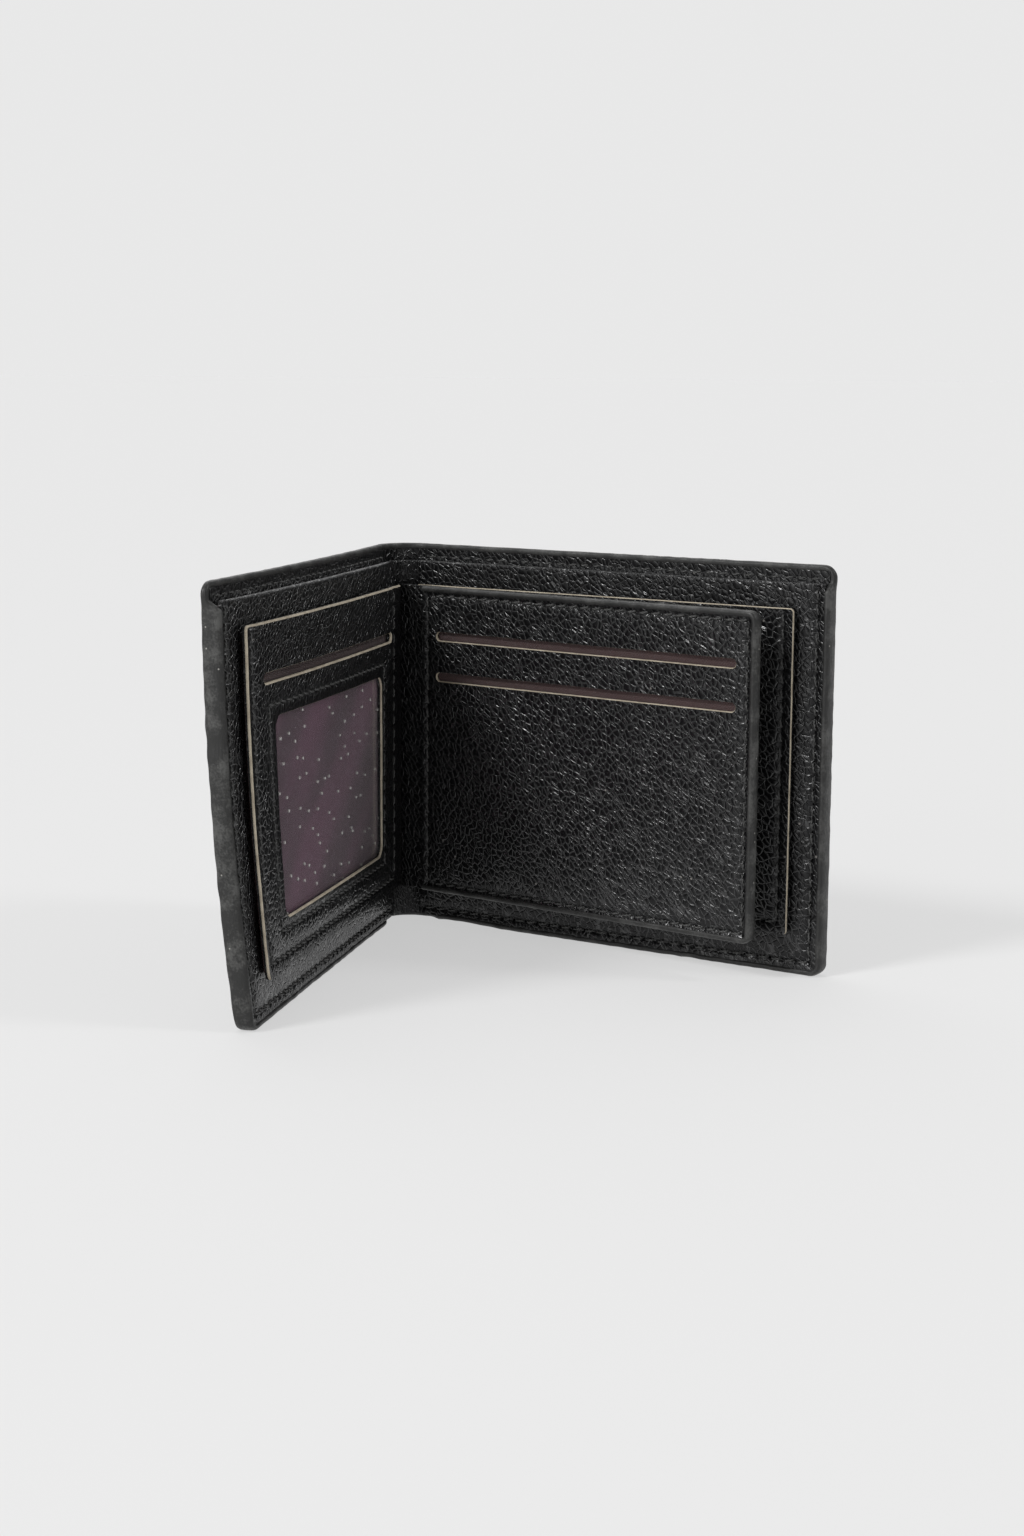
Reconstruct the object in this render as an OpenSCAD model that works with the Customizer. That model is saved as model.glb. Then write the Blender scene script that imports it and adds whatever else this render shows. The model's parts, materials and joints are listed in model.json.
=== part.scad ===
// Flip-page wallet: two covers and one loose page that all turn about one upright spine.
// The right cover lies along +X, the page and the left cover open towards -Y.
// Leaf coordinates: u runs from the spine axis to the free edge, w is the height above
// the leaf's folding plane towards its outside, z is up.

/* [Leaves] */
// Height of both covers, standing edge to top edge
leaf_h = 95; // [88:1:110]
// Width of a cover from the spine axis to its free edge
leaf_w = 112.5; // [108:0.5:125]
// Height of the cover's outside above the folding plane, half the closed thickness
cover_out = 8.5; // [8.3:0.1:10]
// Corner radius of the covers
corner_r = 3; // [2:0.5:4]
// Width of the painted band on the free edges
band = 1.3; // [1:0.1:1.8]

/* [Leather and lining] */
// Thickness of the cover leather with its filler
cover_t = 1.6; // [1.2:0.1:2]
// Thickness of one lining cloth
lining_t = 0.3; // [0.2:0.05:0.4]
// Gap of the bill compartment
bill_gap = 1.3; // [1:0.1:1.5]
// Thickness of the inner panel leather
inner_t = 0.9; // [0.7:0.1:1]
// Height of the inner panels' turned top edge
inner_top = 91; // [84:0.5:92]
// Height of the leather facing along the top of the bill compartment
facing_h = 9; // [7:0.5:12]

/* [Pockets] */
// Clear height between the folding plane and a pocket panel
pocket_face = 1.8; // [1.8:0.1:2]
// Thickness of a pocket panel
pocket_t = 1.1; // [0.9:0.1:1.2]
// Distance of a pocket panel's spine edge from the axis
pocket_u0 = 1.2; // [1:0.1:3]
// Distance of a pocket panel's free edge from the axis
pocket_u1 = 104.7; // [101:0.1:105]
// Lower edge of the pocket panels
pocket_z0 = 9.7; // [8:0.1:12]
// Upper edge of the pocket panels
pocket_z1 = 85.2; // [82:0.1:87]

/* [Card slots] */
// Length of a card slot, a little over a standard card's long side
slot_len = 86.7; // [86:0.1:88]
// Height of a card slot's cut
slot_h = 2.1; // [1.5:0.1:2.5]
// Distance of the slots' spine end from the axis
slot_u0 = 9.7; // [9.4:0.1:11]
// Height of the upper slot
slot_z = 73.2; // [72:0.1:75]
// Drop from the upper slot to the lower one
slot_step = 10; // [8:0.5:12]

/* [Window] */
// Spine side of the identity window
window_u0 = 17.9; // [16:0.1:20]
// Length of the identity window
window_len = 72.9; // [70:0.1:75]
// Lower side of the identity window
window_z0 = 20.4; // [18:0.1:22]
// Height of the identity window
window_h = 44; // [40:0.5:46]
// Corner radius of the identity window
window_r = 3; // [2:0.5:4]
// Thickness of the clear window film
film_t = 0.25; // [0.15:0.05:0.3]

/* [Flip page] */
// Free edge of the page, measured from the axis
page_u1 = 101.6; // [100:0.1:103]
// Lower edge of the page
page_z0 = 8.9; // [8:0.1:12]
// Upper edge of the page
page_z1 = 85.3; // [82:0.1:87]
// Half thickness of the page
page_half = 1.5; // [1.3:0.05:1.5]
// Half thickness of the page's hinge strip
tongue_half = 0.5; // [0.4:0.05:0.5]
// Corner radius of the page
page_r = 2.5; // [2:0.5:3]

/* [Stitching] */
// Distance from one stitch to the next
stitch_pitch = 3.3; // [2.5:0.1:4]
// Length of one stitch
stitch_len = 2.4; // [1.5:0.1:2.6]
// Thickness of the thread where it lies on the leather
stitch_t = 0.25; // [0.15:0.05:0.28]
// Width of the thread
stitch_w = 0.6; // [0.4:0.1:0.8]
// Depth of the groove that a seam pulls into the leather
groove_d = 0.3; // [0.3:0.05:0.4]
// Width of the groove
groove_w = 1.2; // [1:0.1:1.5]

/* [Opening] */
// Angle between the two covers as the wallet stands
opening = 70; // [40:1:120]
// Angle between the right cover and the page as the wallet stands
page_angle = 4.6; // [2:0.1:10]

/* [Hidden] */
$fn = 48;

// Small free gap that keeps pieces of different bodies apart
gap = 0.3;
// Levels of the layers above the folding plane, outside first
cover_in = cover_out - cover_t;
lining_in = cover_in - lining_t;
divider_out = lining_in - bill_gap;
inner_out = divider_out - lining_t;
inner_in = inner_out - inner_t;
pocket_out = pocket_face + pocket_t;
// The covers start just off the plane of the spine axis
leaf_u0 = 0.2;
// Level where the leather facing starts
facing_z = leaf_h - band - facing_h;
// Distances of the stitch lines from the edges
border_inset = 3.2;
pocket_inset = 2.8;
page_inset = 2.3;
window_inset = 2.6;
// The card pocket linings stay inside the pocket seam
lining_inset = 1;
// Spine edge of the page's panels and the seam that holds the hinge strip
page_u0 = 5;
strip_seam_u = 6.6;
strip_u1 = 9.2;
// The corners of the seam round the window, in order
window_seam = [for (c = [[0, 0], [1, 0], [1, 1], [0, 1], [0, 0]])
    [window_u0 - window_inset + c[0] * (window_len + 2 * window_inset),
    window_z0 - window_inset + c[1] * (window_h + 2 * window_inset)]];
// Polar angles of the spine as the wallet stands
spine_start = 90;
spine_end = 270 - opening;
// Box of the whole wallet in axis coordinates
box_x = [-cover_out, leaf_w];
box_y = [-leaf_w * sin(opening) - cover_out * cos(opening), cover_out];

leather = [0.045, 0.045, 0.05];
paint = [0.2, 0.2, 0.21];
cloth = [0.2, 0.1, 0.12];
satin = [0.3, 0.2, 0.25];
thread = [0.08, 0.08, 0.08];
clear = [0.7, 0.75, 0.8, 0.4];

// ---- placing -------------------------------------------------------------

// Brings the centre of the wallet's base to the origin
module stand() {
    translate([-(box_x[0] + box_x[1]) / 2, -(box_y[0] + box_y[1]) / 2, 0]) children();
}

module on_right() {
    stand() children();
}

module on_left() {
    stand() rotate([0, 0, -opening]) mirror([0, 1, 0]) children();
}

module on_page() {
    stand() rotate([0, 0, -page_angle]) children();
}

// ---- shared shapes -------------------------------------------------------

// A rectangle in u and z whose corners are rounded on the chosen sides
module outline(u0, u1, z0, z1, r_spine = 0, r_free = 0) {
    union() {
        translate([u0 + r_spine, z0]) square([u1 - u0 - r_spine - r_free, z1 - z0]);
        if (r_spine > 0) rounded_side(u0 + r_spine, -r_spine, z0, z1, r_spine);
        if (r_free > 0) rounded_side(u1 - r_free, r_free, z0, z1, r_free);
    }
}

// The strip beside a straight end, from u over a width of du, with two round corners
module rounded_side(u, du, z0, z1, r) {
    translate([min(u, u + du), z0 + r]) square([abs(du), z1 - z0 - 2 * r]);
    for (z = [z0 + r, z1 - r]) translate([u, z]) circle(r);
}

// A sheet of constant thickness between the levels w0 and w1
module sheet(w0, w1) {
    translate([0, w1, 0]) rotate([90, 0, 0]) linear_extrude(w1 - w0) children();
}

// The outline of a card slot's cut with its round ends
module slot_cut(z) {
    r = slot_h / 2;
    ends = [slot_u0 + r, slot_u0 + slot_len - r];
    translate([ends[0], z - r]) square([ends[1] - ends[0], slot_h]);
    for (u = ends) translate([u, z]) circle(r);
}

// The outline of the grooves along the straight runs between the given points
module groove_outline(points) {
    half = groove_w / 2;
    for (i = [1 : len(points) - 1]) {
        a = points[i - 1];
        b = points[i];
        translate([min(a[0], b[0]) - half, min(a[1], b[1]) - half])
            square([abs(b[0] - a[0]) + groove_w, abs(b[1] - a[1]) + groove_w]);
    }
}

// A row of stitches lying on the level w, from point a to point b in u and z
module stitch_row(a, b, w) {
    run = b - a;
    length = norm(run);
    count = floor(length / stitch_pitch);
    along = abs(run[0]) > abs(run[1]);
    size = along ? [stitch_len, stitch_t, stitch_w] : [stitch_w, stitch_t, stitch_len];
    for (i = [0 : count - 1]) {
        at = a + run * (i + 0.5) / count;
        translate([at[0], w - stitch_t / 2, at[1]]) cube(size, center = true);
    }
}

// One layer of the spine between two radii, standing between z0 and z1
module spine_layer(r0, r1, z0, z1) {
    stand() translate([0, 0, z0]) rotate([0, 0, spine_start])
        rotate_extrude(angle = spine_end - spine_start) translate([r0, 0]) square([r1 - r0, z1 - z0]);
}

// ---- the layers of one leaf ----------------------------------------------

module cover_sheet() {
    far = leaf_w - border_inset;
    high = leaf_h - border_inset;
    color(leather) difference() {
        sheet(cover_in, cover_out)
            outline(leaf_u0, leaf_w - band, band, leaf_h - band, 0, corner_r - band);
        sheet(cover_out - groove_d, cover_out + 1) groove_outline([
            [-1, border_inset], [far, border_inset], [far, high], [-1, high]
        ]);
    }
}

// The inside of the cover is leather along the top and cloth below
module cover_facing_sheet() {
    color(leather) sheet(lining_in, cover_in)
        outline(leaf_u0, leaf_w - band, facing_z, leaf_h - band);
}

module cover_lining_sheet() {
    color(cloth) sheet(lining_in, cover_in) outline(leaf_u0, leaf_w - band, band, facing_z);
}

module divider_lining_sheet() {
    color(cloth) sheet(inner_out, divider_out) outline(leaf_u0, leaf_w - band, band, inner_top - 1);
}

module inner_panel_sheet() {
    far = leaf_w - border_inset;
    color(leather) difference() {
        sheet(inner_in, inner_out) outline(leaf_u0, leaf_w - band, band, inner_top);
        sheet(inner_in - 1, inner_in + groove_d) groove_outline([
            [-1, border_inset], [far, border_inset], [far, inner_top + 1]
        ]);
    }
}

// The painted band: round the cover's edge, and full depth where the layers are closed
module edge_band() {
    color(paint) union() {
        sheet(cover_in, cover_out) difference() {
            outline(leaf_u0, leaf_w, 0, leaf_h, 0, corner_r);
            outline(leaf_u0 - 1, leaf_w - band, band, leaf_h - band, 0, corner_r - band);
        }
        sheet(inner_in, cover_in) difference() {
            intersection() {
                outline(leaf_u0, leaf_w, 0, leaf_h, 0, corner_r);
                translate([leaf_u0, 0]) square([leaf_w, inner_top]);
            }
            translate([leaf_u0 - 1, band]) square([leaf_w - band - leaf_u0 + 1, leaf_h]);
        }
    }
}

module pocket_lining_sheet(w0) {
    color(cloth) sheet(w0, inner_in) outline(strip_seam_u, pocket_u1 - lining_inset,
        pocket_z0 + lining_inset, pocket_z1 - lining_inset);
}

// The pocket panel with its seam groove; its cuts are taken from it by the children
module pocket_sheet() {
    far = pocket_u1 - pocket_inset;
    low = pocket_z0 + pocket_inset;
    difference() {
        sheet(pocket_face, pocket_out) outline(pocket_u0, pocket_u1, pocket_z0, pocket_z1, 0, 1);
        sheet(pocket_face - 1, pocket_face + groove_d) groove_outline([
            [strip_seam_u, pocket_z1 + 1], [strip_seam_u, low], [far, low], [far, pocket_z1 + 1]
        ]);
        children();
    }
}

// The seam round the cover on its outside
module cover_stitches() {
    far = leaf_w - border_inset;
    high = leaf_h - border_inset;
    out = cover_out - groove_d + stitch_t;
    color(thread) {
        for (z = [border_inset, high]) stitch_row([leaf_u0 + 0.5, z], [far, z], out);
        stitch_row([far, border_inset + 1], [far, high - 1], out);
    }
}

// The same seam on the inside: on the inner panel, and along the top on the facing
module border_stitches() {
    far = leaf_w - border_inset;
    high = leaf_h - border_inset;
    color(thread) {
        stitch_row([leaf_u0 + 0.5, high], [far, high], lining_in);
        stitch_row([pocket_u0, border_inset], [far, border_inset], inner_in + groove_d);
        stitch_row([far, border_inset + 1], [far, inner_top - 1], inner_in + groove_d);
    }
}

module pocket_stitches() {
    near = strip_seam_u;
    far = pocket_u1 - pocket_inset;
    low = pocket_z0 + pocket_inset;
    floor_w = pocket_face + groove_d;
    color(thread) {
        stitch_row([near, low], [far, low], floor_w);
        stitch_row([far, low + 1], [far, pocket_z1 - 1], floor_w);
        stitch_row([near, low + 1], [near, pocket_z1 - 1], floor_w);
    }
}

// ---- right cover ---------------------------------------------------------

module outer_cover_right() {
    on_right() cover_sheet();
}

module cover_facing_right() {
    on_right() cover_facing_sheet();
}

module cover_lining_right() {
    on_right() cover_lining_sheet();
}

module divider_lining_right() {
    on_right() divider_lining_sheet();
}

module inner_panel_right() {
    on_right() inner_panel_sheet();
}

module edge_paint_right() {
    on_right() edge_band();
}

module pocket_lining_right() {
    on_right() pocket_lining_sheet(pocket_out);
}

module card_pocket_panel_right() {
    on_right() color(leather) pocket_sheet() {
        sheet(pocket_face - 1, pocket_out + 1)
            for (i = [0, 1]) slot_cut(slot_z - i * slot_step);
    }
}

module cover_stitching_right() {
    on_right() cover_stitches();
}

module border_stitching_right() {
    on_right() border_stitches();
}

module pocket_stitching_right() {
    on_right() pocket_stitches();
}

// ---- spine ---------------------------------------------------------------

module outer_cover_spine() {
    color(leather) spine_layer(cover_in, cover_out, band, leaf_h - band);
}

module cover_facing_spine() {
    color(leather) spine_layer(lining_in, cover_in, facing_z, leaf_h - band);
}

module cover_lining_spine() {
    color(cloth) spine_layer(lining_in, cover_in, band, facing_z);
}

module divider_lining_spine() {
    color(cloth) spine_layer(inner_out, divider_out, band, inner_top - 1);
}

module inner_panel_spine() {
    color(leather) spine_layer(inner_in, inner_out, band, inner_top);
}

module edge_paint_spine() {
    color(paint) {
        spine_layer(cover_in, cover_out, 0, band);
        spine_layer(cover_in, cover_out, leaf_h - band, leaf_h);
    }
}

// ---- flip page -----------------------------------------------------------

// The strip runs through the spine axis and is held between the page's two panels
module page_hinge_strip() {
    on_page() color(leather) sheet(-tongue_half, tongue_half)
        outline(-(inner_in - gap), strip_u1, page_z0, page_z1);
}

// The front panel has the page's outline without the painted band
module page_panel() {
    far = page_u1 - page_inset;
    low = page_z0 + page_inset;
    high = page_z1 - page_inset;
    difference() {
        sheet(-page_half, -tongue_half)
            outline(page_u0, page_u1 - band, page_z0 + band, page_z1 - band, 0, page_r - band);
        sheet(-page_half - 1, 0) for (i = [0, 1]) slot_cut(slot_z - i * slot_step);
        sheet(-page_half - 1, -page_half + groove_d) groove_outline([
            [strip_seam_u, low], [far, low], [far, high], [strip_seam_u, high], [strip_seam_u, low]
        ]);
    }
}

module page_front_panel() {
    on_page() color(leather) page_panel();
}

module page_back_panel() {
    on_page() mirror([0, 1, 0]) color(leather) page_panel();
}

// The lining fills the page's middle from the hinge strip to the painted band
module page_pocket_lining() {
    on_page() color(cloth) sheet(-tongue_half, tongue_half)
        outline(strip_u1, page_u1 - band, page_z0 + band, page_z1 - band, 0, page_r - band);
}

module page_edge_paint() {
    on_page() color(paint) difference() {
        sheet(-page_half, page_half) outline(page_u0, page_u1, page_z0, page_z1, 0, page_r);
        sheet(-page_half - 1, page_half + 1)
            outline(page_u0 - 1, page_u1 - band, page_z0 + band, page_z1 - band, 0, page_r - band);
        sheet(-tongue_half, tongue_half) outline(page_u0 - 1, strip_u1, page_z0 - 1, page_z1 + 1);
    }
}

// Stitches round the three free sides of the front face
module page_stitches() {
    far = page_u1 - page_inset;
    low = page_z0 + page_inset;
    high = page_z1 - page_inset;
    color(thread) {
        for (z = [low, high])
            stitch_row([strip_seam_u + 2, z], [far, z], -page_half + groove_d);
        stitch_row([far, low + 1], [far, high - 1], -page_half + groove_d);
    }
}

module page_front_stitching() {
    on_page() page_stitches();
}

module page_back_stitching() {
    on_page() mirror([0, 1, 0]) page_stitches();
}

// The seam that holds the hinge strip shows on both faces of the page
module hinge_strip_stitching() {
    low = page_z0 + page_inset;
    high = page_z1 - page_inset;
    on_page() color(thread) for (side = [0, 1]) mirror([0, side, 0])
        stitch_row([strip_seam_u, low], [strip_seam_u, high], -page_half + groove_d);
}

// ---- left cover ----------------------------------------------------------

module outer_cover_left() {
    on_left() cover_sheet();
}

module cover_facing_left() {
    on_left() cover_facing_sheet();
}

module cover_lining_left() {
    on_left() cover_lining_sheet();
}

module divider_lining_left() {
    on_left() divider_lining_sheet();
}

module inner_panel_left() {
    on_left() inner_panel_sheet();
}

module edge_paint_left() {
    on_left() edge_band();
}

module pocket_lining_left() {
    on_left() pocket_lining_sheet(pocket_out + film_t + lining_t);
}

module window_pocket_panel_left() {
    on_left() color(leather) pocket_sheet() {
        sheet(pocket_face - 1, pocket_out + 1) {
            slot_cut(slot_z);
            outline(window_u0, window_u0 + window_len, window_z0, window_z0 + window_h,
                window_r, window_r);
        }
        sheet(pocket_face - 1, pocket_face + groove_d) groove_outline(window_seam);
    }
}

// A sheet behind the window that reaches past its seam on all sides
module behind_window(w0, w1) {
    margin = window_inset + 1.2;
    sheet(w0, w1) outline(window_u0 - margin, window_u0 + window_len + margin,
        window_z0 - margin, window_z0 + window_h + margin);
}

module window_film() {
    on_left() color(clear) behind_window(pocket_out, pocket_out + film_t);
}

module window_lining() {
    on_left() color(satin) behind_window(pocket_out + film_t, pocket_out + film_t + lining_t);
}

module cover_stitching_left() {
    on_left() cover_stitches();
}

module border_stitching_left() {
    on_left() border_stitches();
}

module pocket_stitching_left() {
    on_left() pocket_stitches();
}

module window_stitching() {
    on_left() color(thread) for (i = [1 : len(window_seam) - 1]) {
        a = window_seam[i - 1];
        b = window_seam[i];
        inward = (b - a) / norm(b - a);
        stitch_row(a + inward, b - inward, pocket_face + groove_d);
    }
}

outer_cover_right();
cover_facing_right();
cover_lining_right();
divider_lining_right();
inner_panel_right();
edge_paint_right();
pocket_lining_right();
card_pocket_panel_right();
cover_stitching_right();
border_stitching_right();
pocket_stitching_right();
outer_cover_spine();
cover_facing_spine();
cover_lining_spine();
divider_lining_spine();
inner_panel_spine();
edge_paint_spine();
page_hinge_strip();
page_front_panel();
page_back_panel();
page_pocket_lining();
page_edge_paint();
page_front_stitching();
page_back_stitching();
hinge_strip_stitching();
outer_cover_left();
cover_facing_left();
cover_lining_left();
divider_lining_left();
inner_panel_left();
edge_paint_left();
pocket_lining_left();
window_pocket_panel_left();
window_film();
window_lining();
cover_stitching_left();
border_stitching_left();
pocket_stitching_left();
window_stitching();
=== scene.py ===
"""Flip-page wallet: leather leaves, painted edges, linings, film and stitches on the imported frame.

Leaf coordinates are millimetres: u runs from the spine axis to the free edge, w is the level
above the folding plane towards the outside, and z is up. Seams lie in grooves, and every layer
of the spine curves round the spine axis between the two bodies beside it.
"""

import json
import logging
import math
from dataclasses import dataclass, field
from enum import Enum
from typing import Optional, Sequence

import bpy
import numpy as np
from mathutils import Matrix, Vector


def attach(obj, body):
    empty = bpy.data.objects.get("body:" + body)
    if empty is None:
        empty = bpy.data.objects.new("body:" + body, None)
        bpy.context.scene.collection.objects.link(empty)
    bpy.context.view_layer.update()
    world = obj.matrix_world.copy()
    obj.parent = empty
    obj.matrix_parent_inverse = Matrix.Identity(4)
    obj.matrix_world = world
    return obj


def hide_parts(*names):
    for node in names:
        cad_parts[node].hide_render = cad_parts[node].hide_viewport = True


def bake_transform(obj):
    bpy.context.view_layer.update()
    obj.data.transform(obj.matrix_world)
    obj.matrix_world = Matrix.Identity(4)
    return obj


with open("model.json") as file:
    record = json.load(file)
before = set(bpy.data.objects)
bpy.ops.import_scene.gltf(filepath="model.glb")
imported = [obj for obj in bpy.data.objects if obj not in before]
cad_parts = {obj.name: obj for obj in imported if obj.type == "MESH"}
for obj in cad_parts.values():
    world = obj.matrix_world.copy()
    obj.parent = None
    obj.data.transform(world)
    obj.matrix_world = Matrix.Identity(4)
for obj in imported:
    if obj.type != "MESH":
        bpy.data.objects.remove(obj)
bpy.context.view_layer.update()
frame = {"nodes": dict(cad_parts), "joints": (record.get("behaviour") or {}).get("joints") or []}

LOG = logging.getLogger("wallet")
MM = 0.001
PATH_STEP = 0.7  # millimetres between the points of a painted edge's outline
CORNER_POINTS = 9
BEYOND = 9.0  # millimetres past a sheet's rim, for fields that run off it
JOINTS = {joint["name"]: joint for joint in frame["joints"]}
AXIS = np.array(JOINTS["page_turn"]["pos_m"][:2]) / MM
PAGE_ANGLE = -JOINTS["page_turn"]["range_deg"][0]
OPENING = PAGE_ANGLE - JOINTS["cover_fold"]["range_deg"][0]


class Body(Enum):
    """The three moving bodies of the wallet."""

    RIGHT = "right_cover"
    PAGE = "page"
    LEFT = "left_cover"


class Facing(Enum):
    """Which face of a sheet is its good side: towards the fold, or towards the outside."""

    INSIDE = -1
    OUTSIDE = 1


class Wall(Enum):
    """What the rim of a sheet shows."""

    RAW = "raw"
    TURNED = "turned"


# ---- placing ---------------------------------------------------------------


@dataclass(frozen=True)
class Extent:
    """The lowest and highest leaf coordinates of a piece, in millimetres."""

    u0: float
    u1: float
    w0: float
    w1: float
    z0: float
    z1: float


class Plane:
    """Turns leaf coordinates into places in the frame."""

    mirrored: bool = False

    def place(self, u: np.ndarray, w: np.ndarray, z: np.ndarray) -> np.ndarray:
        """Return the points in metres, one row each.

        Args:
            u: first leaf coordinate of the points.
            w: level of the points.
            z: height of the points.

        Returns:
            The points' x, y and z in the frame.
        """
        raise NotImplementedError


@dataclass(frozen=True)
class LeafPlane(Plane):
    """One flat leaf that turns about the spine axis."""

    body: Body
    heading: float
    mirrored: bool = False
    flare_foot: float = 0.0
    flare_rise: float = 0.0
    bulge: float = 0.0
    width: float = 112.5
    height: float = 95.0

    def directions(self) -> tuple[np.ndarray, np.ndarray]:
        """Return the plan directions of u and w."""
        a = math.radians(self.heading)
        along = np.array([math.cos(a), math.sin(a)])
        outward = np.array([-along[1], along[0]]) * (-1.0 if self.mirrored else 1.0)
        return along, outward

    def bow(self, u: np.ndarray, z: np.ndarray) -> np.ndarray:
        """Return how far the leaf springs outwards from its flat plane."""
        reach = np.clip(u / self.width, 0.0, 1.0) ** 2
        up = z / self.height
        belly = self.bulge * np.sin(math.pi * np.clip(up, 0.0, 1.0))
        return reach * (self.flare_foot + self.flare_rise * up + belly)

    def place(self, u: np.ndarray, w: np.ndarray, z: np.ndarray) -> np.ndarray:
        """Return the points in metres, one row each."""
        u, w, z = (np.asarray(a, float).ravel() for a in np.broadcast_arrays(u, w, z))
        along, outward = self.directions()
        out = w + self.bow(u, z)
        plan = AXIS + u[:, None] * along + out[:, None] * outward
        return np.column_stack([plan, z]) * MM

    def extent(self, node: str) -> Extent:
        """Return the box of a CAD node in this leaf's coordinates.

        Args:
            node: name of a CAD node on this leaf.

        Returns:
            Its lowest and highest u, w and z.
        """
        mesh = frame["nodes"][node].data
        points = np.empty(len(mesh.vertices) * 3, np.float32)
        mesh.vertices.foreach_get("co", points)
        points = points.reshape(-1, 3).astype(float) / MM
        along, outward = self.directions()
        plan = points[:, :2] - AXIS
        u, w, z = plan @ along, plan @ outward, points[:, 2]
        return Extent(*(round(float(x), 3) for a in (u, w, z) for x in (a.min(), a.max())))


@dataclass(frozen=True)
class SpineArc(Plane):
    """The round spine: u is the arc length at the outer radius, w is the radius."""

    radius: float
    start: float = 90.0

    def place(self, u: np.ndarray, w: np.ndarray, z: np.ndarray) -> np.ndarray:
        """Return the points in metres, one row each."""
        u, w, z = (np.asarray(a, float).ravel() for a in np.broadcast_arrays(u, w, z))
        turn = math.radians(self.start) + u / self.radius
        plan = AXIS + np.column_stack([np.cos(turn), np.sin(turn)]) * w[:, None]
        return np.column_stack([plan, z]) * MM

    def along(self, degrees: float) -> float:
        """Return the arc length up to a polar angle."""
        return math.radians(degrees - self.start) * self.radius


# ---- sewing plan -----------------------------------------------------------


@dataclass(frozen=True)
class Seam:
    """One straight run of stitching from a to b, each (u, z)."""

    a: tuple[float, float]
    b: tuple[float, float]
    pitch: float = 3.3

    @property
    def length(self) -> float:
        """Return the run's length."""
        return math.dist(self.a, self.b)

    @property
    def count(self) -> int:
        """Return the number of whole stitches."""
        return max(1, int(self.length // self.pitch))

    def direction(self) -> np.ndarray:
        """Return the unit vector from a to b."""
        return (np.array(self.b) - np.array(self.a)) / self.length

    def measure(self, u: np.ndarray, z: np.ndarray) -> tuple[np.ndarray, np.ndarray]:
        """Return each point's distance from the run, and its place along it."""
        d = self.direction()
        x, y = u - self.a[0], z - self.a[1]
        t = np.clip(x * d[0] + y * d[1], 0.0, self.length)
        return np.hypot(x - t * d[0], y - t * d[1]), t


@dataclass(frozen=True)
class Cut:
    """A round-cornered opening through a sheet."""

    u0: float
    u1: float
    z0: float
    z1: float
    radius: float
    skive: tuple[float, float, float, float] = (1.0, 1.0, 1.0, 1.0)

    def grown(self, by: float) -> "Cut":
        """Return the same cut with every side moved out."""
        return Cut(self.u0 - by, self.u1 + by, self.z0 - by, self.z1 + by, self.radius + by)

    def skived(self, by: float) -> "Cut":
        """Return the cut at the good side, where the knife has slanted each side its own way."""
        a, b, c, d = (by * share for share in self.skive)
        radius = self.radius + by * max(self.skive) * 0.5
        return Cut(self.u0 - a, self.u1 + b, self.z0 - c, self.z1 + d, radius)


def soft_noise(u: np.ndarray, z: np.ndarray, wave: float, seed: int) -> np.ndarray:
    """Return a smooth seeded field between about -1 and 1.

    Args:
        u: first coordinate in millimetres.
        z: second coordinate in millimetres.
        wave: mean wavelength in millimetres.
        seed: seed of the field.

    Returns:
        The field's value at each point.
    """
    rng = np.random.default_rng(seed)
    total = np.zeros(np.broadcast(u, z).shape)
    waves = 9
    for _ in range(waves):
        turn, phase = rng.uniform(0, 2 * math.pi, 2)
        k = 2 * math.pi / (wave * rng.uniform(0.6, 1.6))
        total = total + np.sin(k * (u * math.cos(turn) + z * math.sin(turn)) + phase)
    return total / math.sqrt(waves)


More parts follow.
